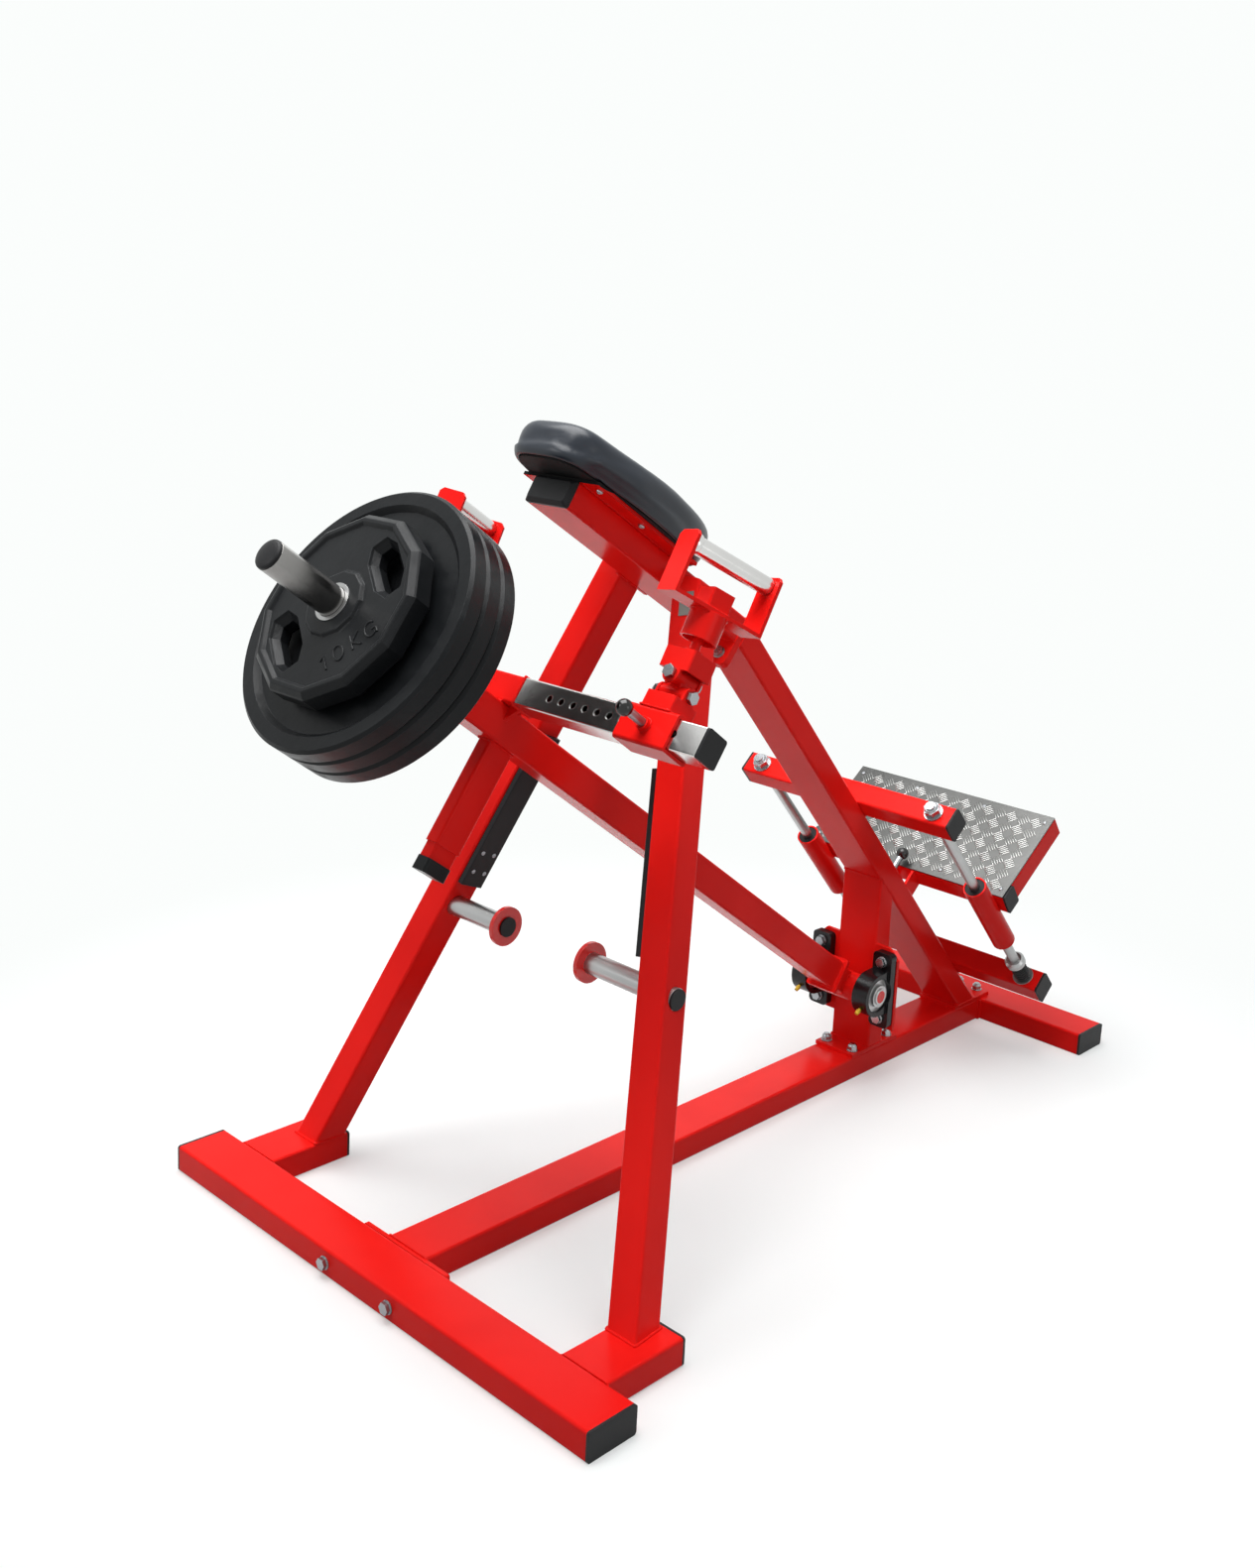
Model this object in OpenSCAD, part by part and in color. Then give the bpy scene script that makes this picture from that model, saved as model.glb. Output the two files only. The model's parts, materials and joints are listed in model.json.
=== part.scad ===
// Chest-supported row machine. A lever turns in two bearings at the back of a
// steel frame. Weight plates sit on a horn at its front end, and two handles
// slide along a rail across it. The user lies on the chest pad and stands on a
// tread platform, which slides up and down on two guide rods.
// The origin is on the floor, under the middle of the front cross tube.
// +X is the right side of the machine, +Y runs to the back and +Z is up.

/* [Base] */
// Width of the flat base tubes
base_w = 100; // [90:1:110]
// Height of the flat base tubes
base_h = 50; // [45:1:60]
// Length of the front cross tube without its caps
front_len = 1080; // [1000:1:1160]
// Distance from the middle to the centre of each leg stub
stub_x = 433; // [428:1:440]
// Length of each leg stub behind the front cross tube
stub_len = 166; // [160:1:220]
// Distance between the front and the rear cross tubes, centre to centre
base_len = 1778; // [1760:1:1860]
// Length of the rear cross tube without its caps
rear_len = 620; // [500:1:800]
// Wall of the square and flat tubes
wall = 3; // [2:0.5:4]
// Corner radius of the square and flat tubes
tube_r = 5; // [4.5:0.5:7]
// Thickness of the joining plates
plate_t = 8; // [6:1:10]
// Thickness of the plastic end caps
cap_t = 5; // [3:1:8]
// Half the distance between the two front bolts
front_bolt_x = 85; // [70:1:92]

/* [Post and bearings] */
// Distance from the front cross tube to the post's centre
post_y = 1309; // [1300:1:1320]
// Depth of the post, front to back
post_d = 50; // [45:1:60]
// Length of the post's foot plate, front to back
foot_len = 162; // [140:1:180]
// Height of the lever's axis above the floor
pivot_z = 207; // [200:1:230]
// Height of the bearings' axis above their feet
bearing_h = 47.6; // [46:0.1:55]
// Length of a bearing's foot
bearing_len = 167; // [160:1:175]
// Width of a bearing's foot
bearing_w = 48; // [42:1:52]
// Distance between a bearing's two bolts
bearing_bolts = 127; // [120:1:132]
// Thickness of a bearing's foot
bearing_foot = 18; // [14:1:20]
// Radius of a bearing's round body
bearing_r = 46; // [43:1:46]
// Distance from the middle to the centre of each bearing
bearing_x = 81; // [80:1:84]
// Diameter of the lever's shaft
shaft_d = 35; // [30:1:38]

/* [Beam, strut and legs] */
// Width of the pad beam, the post and the strut
beam_w = 100; // [90:1:110]
// Height of the pad beam and the strut
beam_h = 50; // [45:1:60]
// Distance behind the origin of the beam's lower front corner
nose_y = 313.4; // [300:0.1:330]
// Height of the beam's lower front corner
nose_z = 1287; // [1275:1:1300]
// Slope of the pad beam
beam_angle = 31.3; // [30:0.1:33]
// Length of the beam's underside, nose to strut
beam_len = 524; // [510:1:535]
// Slope of the strut
strut_angle = 47.6; // [47:0.1:48.5]
// Width of each leg's square tube
leg_w = 60; // [50:1:62]
// Distance from the middle to the leg's axis at the stub
leg_foot_x = 413.8; // [413:0.1:425]
// Distance behind the origin of the leg's axis at the stub
leg_foot_y = 175.8; // [160:0.1:180]
// Distance behind the origin of the leg's axis at its head
leg_head_y = 593.3; // [585:0.1:600]
// Height at which the head of the leg is measured
leg_head_z = 1150; // [1140:1:1155]

/* [Storage pegs and wear strips] */
// Diameter of the peg tubes
peg_d = 38; // [30:1:42]
// Height of the peg tubes above the floor
peg_z = 515; // [490:1:530]
// Distance from the middle to each peg's inner disc
peg_in_x = 104; // [95:1:115]
// Radius of the peg's inner disc
peg_disc_r = 36; // [30:1:40]
// Height above the floor at which a wear strip starts
strip_z0 = 565; // [560:1:600]
// Height above the floor at which a wear strip ends
strip_z1 = 849; // [820:1:870]
// Thickness of a wear strip
strip_t = 12; // [6:1:14]

/* [Chest pad] */
// Length of the chest pad
pad_len = 418; // [390:1:440]
// Width of the chest pad
pad_w = 236; // [210:1:250]
// Thickness of the chest pad at its crown
pad_t = 66; // [55:1:75]
// Distance that the pad stands in front of the beam's nose
pad_front = 78; // [65:1:90]
// Thickness of the board under the pad
board_t = 12; // [9:1:18]
// Thickness of the mounting plate on the beam
pad_plate_t = 6; // [5:1:8]
// Width of the mounting plate on the beam
pad_plate_w = 180; // [160:1:190]
// Length of the mounting plate on the beam
pad_plate_len = 290; // [280:1:310]

/* [Lever] */
// Angle of the lever above level, as it stands
lever_angle = 35.4; // [33:0.1:36]
// Width of the lever's square tube
arm_w = 60; // [50:1:60]
// Distance from the axis to the centre of the handle rail
rail_at = 1264; // [1255:1:1275]
// Width of the handle rail's square tube
rail_w = 50; // [45:1:50]
// Distance from the middle to the end of the handle rail
rail_half = 447; // [446:1:470]
// Half the length of the rail's painted middle piece
rail_mid = 52; // [48:1:56]
// Distance between the rail's adjusting holes
hole_pitch = 26.8; // [26:0.1:26.9]
// Distance from the middle to the first adjusting hole
hole_first = 124.5; // [120:0.1:126]
// Distance from the axis to the stop leg
stop_at = 1227; // [1222:1:1229]
// Distance from the axis to the horn's collar
horn_at = 1502; // [1495:1:1510]
// Diameter of the weight horn
horn_d = 50; // [48:0.5:50]
// Length of the weight horn in front of its collar
horn_len = 287; // [270:1:320]

/* [Handles] */
// Width of the sliding sleeve's square tube
sleeve_w = 62; // [58:1:64]
// Length of the sliding sleeve
sleeve_len = 105; // [90:1:107]
// Hole of the rail that the right sleeve's pin stands over
right_hole = 8; // [5:1:8]
// Hole of the rail that the left sleeve's pin stands over
left_hole = 5; // [5:1:8]
// Width of the two square link boxes
link_w = 60; // [58:1:64]
// Wall of the two square link boxes
link_t = 5; // [4:0.5:6]
// Height of the lower link bolt above the sleeve
fork_rise = 38; // [36:1:42]
// Distance between the two crossed link bolts
link_gap = 25; // [25:1:30]
// Diameter of the link bolts
link_bolt_d = 12; // [10:1:12]
// Forward tip of the right handle, as it stands
right_pitch = 6; // [0:1:10]
// Forward tip of the left handle, as it stands
left_pitch = 9.7; // [0:0.1:12]
// Outward turn of the right handle, as it stands
right_yaw = 17; // [0:1:30]
// Outward turn of the left handle, as it stands
left_yaw = 20.3; // [0:0.1:30]
// Length of the handle bracket
bracket_len = 175; // [160:1:185]
// Width of the handle bracket
bracket_w = 52; // [48:1:60]
// Height of the handle bracket's cheeks
bracket_h = 102; // [95:1:110]
// Thickness of the handle bracket
bracket_t = 6; // [5:1:8]
// Diameter of the hand grip
grip_d = 30; // [26:1:32]

/* [Weight plates] */
// Radius of the large plates
plate_r = 225; // [200:1:225]
// Thickness of a large plate
big_t = 35; // [32:1:36]
// Distance across the corners of the small plate
small_across = 318; // [300:1:350]
// Thickness of the small plate
small_t = 46; // [40:1:50]

/* [Platform] */
// Distance from the end of a crossbar to its guide rod
rod_inset = 40; // [38:1:44]
// Diameter of the guide rods
rod_d = 22; // [20:1:25]
// Width of the square crossbars that hold the rods
bar_w = 50; // [46:1:50]
// Length of the crossbars without their caps
bar_len = 524; // [520:1:530]
// Distance along the strut from the post to the upper crossbar
bar_up = 213; // [205:1:225]
// Distance along the strut from the post to the lower crossbar
bar_down = 405; // [400:1:412]
// Outer diameter of the sliding tubes
tube_d = 50; // [46:1:50]
// Length of the sliding tubes
tube_len = 205; // [190:1:206]
// Distance along the strut from the post to the sliding tubes
tube_at = 52; // [50:1:54]
// Distance that the platform stands out past the guide rods, without its caps
tray_out = 35; // [33:1:50]
// Depth of the platform
tray_len = 235; // [220:1:280]
// Height of the platform's frame tubes
tray_h = 50; // [45:1:55]
// Width of the platform's frame tubes
tray_t = 40; // [36:1:44]
// Slope of the tread, up to the back
tread_slope = 36.4; // [34:0.1:38]
// Thickness of the tread plate
tread_t = 3; // [2:0.5:4]
// Wire of the buffer springs
wire_d = 4.5; // [4:0.1:5]
// Curls of each buffer spring
curls = 6; // [5:1:7]

/* [Fits] */
// Radial clearance of a shaft, bolt or rod that turns or slides
fit = 0.08; // [0.04:0.01:0.1]
// Gap between flat faces that slide past each other
slip = 0.4; // [0.3:0.05:0.6]
// Clearance of bolts and plugs that stand still
loose = 0.2; // [0.1:0.05:0.3]

/* [Hidden] */
$fn = 48;

red = [0.80, 0.05, 0.05];
black = [0.08, 0.08, 0.09];
steel = [0.72, 0.73, 0.75];
zinc = [0.80, 0.80, 0.82];
rubber = [0.13, 0.13, 0.14];

// Length of a cutting block, longer than any piece.
big = 3000;
// Small overlap that makes a cut run clean through.
eps = 1;

// Bolts: diameter, width of the hex across flats and its height.
bolt_d = 12;
bolt_af = 19;
bolt_head = 8;
washer_t = 2;
washer_r = 12;
// Outer radius of the bearings' inserts
insert_r = 36;

// Floor tubes
cross_top = base_h;
spine_y0 = base_w / 2 + plate_t;
spine_y1 = base_len - base_w / 2 - plate_t;
front_flange_w = 220;

// Post, bearings and the lever's axis
post_front = post_y - post_d / 2;
pivot_y = post_front - bearing_h;
shaft_end = bearing_x + bearing_w / 2;
bearing_plate_w = bearing_x + bearing_w / 2 + 2 - beam_w / 2;
bearing_plate_h = bearing_len + 14;

// Beam and strut
bend = strut_angle - beam_angle;
joint_y = nose_y + beam_len * cos(beam_angle);
joint_z = nose_z - beam_len * sin(beam_angle);
// The strut's own origin: where its underside passes over the post's front face
strut_run = (post_front - joint_y) / cos(strut_angle);
strut_z = joint_z - strut_run * sin(strut_angle);
// Legs
lean_back = atan((leg_head_y - leg_foot_y) / (leg_head_z - base_h));
head_plate_x = beam_w / 2 + plate_t;
leg_side = (leg_w / 2) / cos(15.4);
leg_head_x = head_plate_x + leg_side - 0.6;
leg_rise = (leg_head_z - base_h) / cos(lean_back);
lean_in = atan((leg_foot_x - leg_head_x) / leg_rise);
leg_top_n = beam_h / 2;
function leg_x(z) = leg_foot_x - (leg_foot_x - leg_head_x) * (z - base_h) / (leg_head_z - base_h);
function leg_y(z) = leg_foot_y + (leg_head_y - leg_foot_y) * (z - base_h) / (leg_head_z - base_h);
// Length along a leg that reaches a height above the floor
function leg_s(z) = (z - base_h) / cos(lean_back) / cos(lean_in);
peg_out_x = leg_x(peg_z) + leg_side + 2;
joint_h = beam_h / cos(bend / 2);
joint_drop = 53;
joint_bolt_x = 28;
joint_bolt_n = 30;
// The strut's foot plate and the two studs behind it
strut_foot_y = post_front + (strut_z - base_h - plate_t) / tan(strut_angle) - 10;
strut_foot_end = base_len - 13;
rear_bolt_x = 24;

// Lever
arm_flange = 76;
arm_start = 66;
rail_n = arm_w / 2 + rail_w / 2;
horn_plate_r = 55;
stop_w = 30;
stop_d = 60;
stop_end = 218;
stop_inner_end = 244;
foot_end = 268;
stack_1 = horn_at + slip;
stack_2 = stack_1 + big_t + slip;
stack_3 = stack_2 + big_t + slip;
stack_4 = stack_3 + big_t + slip;
bore_r = horn_d / 2 + 0.5;

// Handles
function pin_x(side) = hole_first + hole_pitch * (side > 0 ? right_hole : left_hole);
hole_count = 11;
rail_hole_d = 12;
sleeve_wall = (sleeve_w - rail_w) / 2 - slip;
sleeve_top = rail_n + sleeve_w / 2;
fork_n = sleeve_top + fork_rise;
fork_wall_top = fork_rise - 11;
ear_r = 14;
box_low = 7;
box_h = 34;
box_top = box_low + box_h;
barrel_r = 13;
swivel_d = 16;
swivel_boss_h = 6;
collar_r = 30;
collar_t = 4;
collar_low = 64;
collar_h = 45;
base_low = collar_low + collar_h;
grip_up = bracket_h - grip_d / 2 - 2;
grip_rod_d = 16;
knob_r = 13.5;

// Platform
rod_x = bar_len / 2 - rod_inset;
tray_w = 2 * (rod_x + tray_out);
rod_n = beam_h + bar_w / 2;
tray_d = tube_at + 56;
tray_n = rod_n + tube_d / 2 - 2;
buffer_top = bar_down - 71;
collar_len = 16;
spring_top = buffer_top + collar_len;
spring_bottom = bar_down - washer_t;
lock_d = tube_at + 35;
lock_w = 64;
lock_t = 6;
lock_hole_pitch = 25;

// ---------------------------------------------------------------- profiles

// Rectangle with round corners
module round_rect(w, h, r) {
    square([w - 2 * r, h], center = true);
    square([w, h - 2 * r], center = true);
    for (x = [-1, 1], y = [-1, 1])
        translate([x * (w / 2 - r), y * (h / 2 - r)]) circle(r);
}

// Section of a hollow tube
module tube_section(w, h, t, r) {
    difference() {
        round_rect(w, h, r);
        round_rect(w - 2 * t, h - 2 * t, max(r - t, 1));
    }
}

// Hollow tube along X, w deep in Y and h high
module tube_x(w, h, x0, x1, t = wall, r = tube_r) {
    translate([x0, 0, 0]) rotate([90, 0, 90]) linear_extrude(x1 - x0) tube_section(w, h, t, r);
}

// Hollow tube along Y, w wide and h high
module tube_y(w, h, y0, y1, t = wall, r = tube_r) {
    translate([0, y1, 0]) rotate([90, 0, 0]) linear_extrude(y1 - y0) tube_section(w, h, t, r);
}

// Solid bar along Y with the same outline
module bar_y(w, h, y0, y1, r = tube_r) {
    translate([0, y1, 0]) rotate([90, 0, 0]) linear_extrude(y1 - y0) round_rect(w, h, r);
}

// Cylinders along X and along Y
module rod_x(r, x0, x1) {
    translate([x0, 0, 0]) rotate([0, 90, 0]) cylinder(r = r, h = x1 - x0);
}
module rod_y(r, y0, y1) {
    translate([0, y0, 0]) rotate([-90, 0, 0]) cylinder(r = r, h = y1 - y0);
}

// Hexagon of a bolt or nut, standing on z = 0
module hex(af, h) {
    cylinder(d = af / cos(30), h = h, $fn = 6);
}

// Hex bolt: the head stands on z = 0, the shank runs down
module hex_bolt(shank, d = bolt_d, af = bolt_af, head = bolt_head) {
    cylinder(r = washer_r * d / bolt_d, h = washer_t);
    translate([0, 0, washer_t]) hex(af, head);
    translate([0, 0, -shank]) cylinder(d = d, h = shank + washer_t + head / 2);
}

// Lock nut with its domed ring, standing on z = 0, with a bolt end through it
module lock_nut(af = bolt_af, d = bolt_d) {
    cylinder(r = washer_r * d / bolt_d, h = washer_t);
    translate([0, 0, washer_t]) hex(af, d * 0.75);
    translate([0, 0, washer_t + d * 0.75]) cylinder(d1 = af * 0.96, d2 = af * 0.78, h = d * 0.25);
    cylinder(d = d, h = washer_t + d + 2);
}

// End cap along +Y: a plate outside the tube and a plug inside it
module end_cap(w, h) {
    bar_y(w, h, 0, cap_t);
    bar_y(w - 2 * (wall + loose), h - 2 * (wall + loose), -14, 0, max(tube_r - wall, 1));
}

// ---------------------------------------------------------------- frames of reference

// Lever: y runs back along the arm from the axis, z square to it
module on_lever() {
    translate([0, pivot_y, pivot_z]) rotate([-lever_angle, 0, 0]) children();
}

// Beam: y runs down the underside from the nose
module on_beam() {
    translate([0, nose_y, nose_z]) rotate([-beam_angle, 0, 0]) children();
}

// Strut: y runs down the underside from the post's front face
module on_strut() {
    translate([0, post_front, strut_z]) rotate([-strut_angle, 0, 0]) children();
}

// Joint of the beam and the strut: y is square to its plates, z runs up them
module on_joint() {
    translate([0, joint_y, joint_z]) rotate([-beam_angle - bend / 2, 0, 0]) children();
}

// Leg: z runs up the axis, x across the leg; side is 1 on the right, -1 on the left
module on_leg(side) {
    translate([side * leg_foot_x, leg_foot_y, base_h])
        rotate([-lean_back, 0, 0]) rotate([0, -side * lean_in, 0]) children();
}

// Platform: y runs up the tread from its front edge, z square to the tread
module on_tray() {
    on_strut() translate([0, tray_d, tray_n]) rotate([strut_angle + tread_slope, 0, 0]) children();
}

// Handle parts above the lower link bolt, which lies on X
module on_fork(side) {
    on_lever() translate([side * pin_x(side), -rail_at, fork_n])
        rotate([side > 0 ? right_pitch : left_pitch, 0, 0]) children();
}

// The bracket, turned about its upright swivel; z is measured from the upper link bolt
module on_swivel(side) {
    on_fork(side) translate([0, 0, link_gap]) rotate([0, 0, side > 0 ? -right_yaw : left_yaw]) children();
}

// ---------------------------------------------------------------- floor frame

module front_cross() {
    color(red) difference() {
        translate([0, 0, base_h / 2]) tube_x(base_w, base_h, -front_len / 2, front_len / 2);
        for (s = [-1, 1]) translate([s * front_bolt_x, 0, base_h / 2])
            rod_y(bolt_d / 2 + loose, -base_w, base_w);
    }
}

module leg_stubs() {
    color(red) for (s = [-1, 1])
        translate([s * stub_x, 0, base_h / 2]) tube_y(base_w, base_h, base_w / 2, base_w / 2 + stub_len);
}

module spine() {
    color(red) difference() {
        translate([0, 0, base_h / 2]) union() {
            tube_y(base_w, base_h, spine_y0, spine_y1);
            bar_y(front_flange_w, base_h - 2, base_w / 2, spine_y0, 4);
            bar_y(base_w + 12, base_h - 2, spine_y1, spine_y1 + plate_t, 4);
        }
        for (s = [-1, 1]) translate([s * front_bolt_x, 0, base_h / 2])
            rod_y(bolt_d / 2 + loose, base_w / 2 - eps, spine_y0 + eps);
        post_bolt_places() translate([0, 0, -wall - eps])
            cylinder(d = bolt_d + 2 * loose, h = wall + 2 * eps);
    }
}

module rear_cross() {
    color(red) difference() {
        translate([0, base_len, base_h / 2]) tube_x(base_w, base_h, -rear_len / 2, rear_len / 2);
        rear_bolt_places() translate([0, 0, -wall - eps])
            cylinder(d = bolt_d + 2 * loose, h = wall + 2 * eps);
    }
}

// The two studs on the rear cross tube, at its top face
module rear_bolt_places() {
    for (s = [-1, 1]) translate([s * rear_bolt_x, base_len - base_w / 4, base_h]) children();
}

// The four bolts of the post's foot, at the spine's top face
module post_bolt_places() {
    for (s = [-1, 1], e = [-1, 1])
        translate([s * 35, post_y + e * (foot_len / 2 - 19), base_h]) children();
}

module post() {
    color(red) difference() {
        union() {
            // Upright tube, cut under the strut
            difference() {
                translate([0, post_y, base_h + plate_t]) linear_extrude(strut_z - base_h)
                    tube_section(beam_w, post_d, wall, tube_r);
                on_strut() translate([-big / 2, -big / 2, 0]) cube([big, big, big]);
            }
            // Foot plate
            translate([-beam_w / 2, post_y - foot_len / 2, base_h]) cube([beam_w, foot_len, plate_t]);
            // Plates that carry the bearings
            for (s = [-1, 1]) scale([s, 1, 1]) bearing_plate();
        }
        post_bolt_places() translate([0, 0, -eps]) cylinder(d = bolt_d + 2 * loose, h = plate_t + 2 * eps);
        bearing_bolt_places() rotate([90, 0, 0]) translate([0, 0, -plate_t - eps])
            cylinder(d = bolt_d + 2 * loose, h = plate_t + 2 * eps);
    }
}

// Plate beside the post, with its upper outer corner cut off
module bearing_plate() {
    corner = 24;
    x0 = beam_w / 2 - wall + 0.5;
    x1 = beam_w / 2 + bearing_plate_w;
    z0 = pivot_z - bearing_plate_h / 2;
    z1 = pivot_z + bearing_plate_h / 2;
    translate([0, post_front + plate_t, 0]) rotate([90, 0, 0]) linear_extrude(plate_t)
        polygon([[x0, z0], [x1, z0], [x1, z1 - corner], [x1 - corner, z1], [x0, z1]]);
}

// The bolts of the two bearings, at the front of the plates, with y out to the front
module bearing_bolt_places() {
    for (s = [-1, 1], e = [-1, 1])
        translate([s * bearing_x, post_front, pivot_z + e * bearing_bolts / 2]) children();
}

module strut() {
    color(red) difference() {
        union() {
            difference() {
                on_strut() translate([0, 0, beam_h / 2])
                    tube_y(beam_w, beam_h, -strut_run - beam_h, big / 2);
                on_joint() translate([-big / 2, plate_t / 2 - big, -big / 2]) cube([big, big, big]);
                // Foot on its plate
                translate([-big / 2, 0, base_h + plate_t / 2 - big]) cube([big, big, big]);
            }
            on_joint() joint_plate(0);
            translate([-beam_w / 2, strut_foot_y, base_h])
                cube([beam_w, strut_foot_end - strut_foot_y, plate_t]);
        }
        // Row of holes for the platform's pin
        on_strut() for (k = [-7 : 2]) translate([0, lock_d + k * lock_hole_pitch, beam_h - wall - eps])
            cylinder(d = rail_hole_d, h = wall + 2 * eps);
        rear_bolt_places() translate([0, 0, -eps]) cylinder(d = bolt_d + 2 * loose, h = plate_t + 2 * eps);
    }
}

// Plate between the beam and the strut, which hangs below them for its two bolts
module joint_plate(at) {
    r = 12;
    difference() {
        translate([0, at + plate_t, 0]) rotate([90, 0, 0]) linear_extrude(plate_t) union() {
            translate([-beam_w / 2, r - joint_drop]) square([beam_w, joint_h + joint_drop - r]);
            translate([r - beam_w / 2, -joint_drop]) square([beam_w - 2 * r, joint_drop]);
            for (s = [-1, 1]) translate([s * (beam_w / 2 - r), r - joint_drop]) circle(r);
        }
        for (s = [-1, 1]) translate([s * joint_bolt_x, 0, -joint_bolt_n])
            rod_y(bolt_d / 2 + loose, at - eps, at + plate_t + eps);
    }
}

module beam() {
    color(red) union() {
        difference() {
            on_beam() translate([0, 0, beam_h / 2]) tube_y(beam_w, beam_h, 0, beam_len + beam_h);
            on_joint() translate([-big / 2, -plate_t / 2, -big / 2]) cube([big, big, big]);
        }
        on_beam() {
            // Mounting plate of the pad
            difference() {
                translate([-pad_plate_w / 2, 2, beam_h])
                    cube([pad_plate_w, pad_plate_len, pad_plate_t]);
                pad_screw_places() cylinder(d = 8.5, h = 4 * pad_plate_t, center = true);
            }
            // Plates beside the beam that carry the legs
            for (s = [-1, 1]) translate([s * (beam_w / 2 + plate_t / 2), leg_plate_at(), beam_h / 4])
                cube([plate_t, leg_w + 30, beam_h / 2], center = true);
        }
        on_joint() joint_plate(-plate_t);
    }
}

// Where the legs meet the beam, measured down its underside
function leg_plate_at() = ((leg_y(leg_head_z) - nose_y) - 0) * cos(beam_angle)
    + (nose_z - leg_head_z) * sin(beam_angle);

// The six screws that hold the pad's board, at the underside of the mounting plate
module pad_screw_places() {
    for (s = [-1, 1], k = [0 : 2])
        translate([s * (pad_plate_w / 2 - 18), 27 + k * (pad_plate_len - 50) / 2, beam_h]) children();
}

module leg(side) {
    color(red) difference() {
        on_leg(side) translate([0, 0, -60]) linear_extrude(leg_rise + 200)
            tube_section(leg_w, leg_w, wall, tube_r);
        translate([-big / 2, -big / 2, base_h - big]) cube([big, big, big]);
        on_beam() translate([-big / 2, -big / 2, leg_top_n]) cube([big, big, big]);
        translate([side > 0 ? -big + head_plate_x : -head_plate_x, -big / 2, -big / 2])
            cube([big, big, big]);
        translate([side * leg_x(peg_z), leg_y(peg_z), peg_z]) rod_x(peg_d / 2 + loose, -leg_w, leg_w);
    }
}
module leg_left() {
    leg(-1);
}
module leg_right() {
    leg(1);
}

// ---------------------------------------------------------------- pegs and strips

module storage_pegs() {
    for (s = [-1, 1]) scale([s, 1, 1]) translate([0, leg_y(peg_z), peg_z]) color(steel) difference() {
        union() {
            rod_x(peg_d / 2, peg_in_x + 4, peg_out_x);
            rod_x(peg_disc_r, peg_in_x, peg_in_x + 8);
        }
        rod_x(peg_d / 2 - wall, peg_in_x - eps, peg_out_x + eps);
    }
}

module peg_plugs() {
    for (s = [-1, 1]) scale([s, 1, 1]) translate([0, leg_y(peg_z), peg_z]) color(black) {
        peg_plug(peg_out_x, 1);
        peg_plug(peg_in_x, -1);
    }
}

// Plug pressed into a tube end at x, its cap facing out along dir
module peg_plug(x, dir) {
    translate([x, 0, 0]) rotate([0, dir * 90, 0]) {
        cylinder(r = peg_d / 2 - 1, h = 4);
        translate([0, 0, -14]) cylinder(r = peg_d / 2 - wall - loose, h = 15);
    }
}

module wear_strips() {
    for (s = [-1, 1]) on_leg(s) color(black)
        translate([-s * (leg_w / 2 + strip_t / 2), 0, leg_s(strip_z0)])
            linear_extrude(leg_s(strip_z1) - leg_s(strip_z0)) round_rect(strip_t, leg_w - 8, 2);
}

// ---------------------------------------------------------------- caps

module floor_caps() {
    color(black) for (s = [-1, 1]) {
        translate([s * front_len / 2, 0, base_h / 2]) rotate([0, 0, -s * 90]) end_cap(base_w, base_h);
        translate([s * rear_len / 2, base_len, base_h / 2]) rotate([0, 0, -s * 90]) end_cap(base_w, base_h);
        translate([s * stub_x, base_w / 2 + stub_len, base_h / 2]) end_cap(base_w, base_h);
    }
}

module bar_caps() {
    color(black) on_strut() for (s = [-1, 1], y = [-bar_up, bar_down])
        translate([s * bar_len / 2, y + bar_w / 2, rod_n]) rotate([0, 0, -s * 90]) end_cap(bar_w, bar_w);
}

// Cap on the beam's nose, with a bevel all round
module beam_cap() {
    bevel = 7;
    color(black) on_beam() translate([0, 0, beam_h / 2]) rotate([0, 0, 180]) {
        bar_y(beam_w, beam_h, 0, cap_t);
        hull() {
            bar_y(beam_w - 1, beam_h - 1, cap_t, cap_t + 0.5);
            bar_y(beam_w - 2 * bevel, beam_h - 2 * bevel, cap_t + bevel - 0.5, cap_t + bevel);
        }
        bar_y(beam_w - 2 * (wall + loose), beam_h - 2 * (wall + loose), -16, 0, 2);
    }
}

// ---------------------------------------------------------------- bolts

module frame_bolts() {
    color(zinc) {
        // Through the front cross tube into the spine's flange
        for (s = [-1, 1]) translate([s * front_bolt_x, -base_w / 2, base_h / 2]) {
            rotate([90, 0, 0]) hex_bolt(base_w + plate_t);
            translate([0, base_w + plate_t, 0]) rotate([-90, 0, 0]) lock_nut();
        }
        // Foot of the post
        post_bolt_places() translate([0, 0, plate_t]) {
            lock_nut();
            translate([0, 0, -20]) cylinder(d = bolt_d, h = 20);
        }
        // Studs on the rear cross tube
        rear_bolt_places() translate([0, 0, plate_t]) {
            lock_nut();
            translate([0, 0, -20]) cylinder(d = bolt_d, h = 20);
        }
        // Bearings
        bearing_bolt_places() {
            translate([0, -bearing_foot, 0]) rotate([90, 0, 0]) hex_bolt(bearing_foot + plate_t);
            translate([0, plate_t, 0]) rotate([-90, 0, 0]) lock_nut();
        }
        // Joint of the beam and the strut
        on_joint() for (s = [-1, 1]) translate([s * joint_bolt_x, -plate_t, -joint_bolt_n]) {
            rotate([90, 0, 0]) hex_bolt(2 * plate_t);
            translate([0, 2 * plate_t, 0]) rotate([-90, 0, 0]) lock_nut();
        }
    }
}

// ---------------------------------------------------------------- bearings

// Cast housing on a flat foot, seen along X
module housing_outline() {
    circle(r = bearing_r);
    polygon([[bearing_h, 50], [bearing_h - bearing_foot + 2, 48], [0, bearing_r],
             [0, -bearing_r], [bearing_h - bearing_foot + 2, -48], [bearing_h, -50]]);
}

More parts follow.
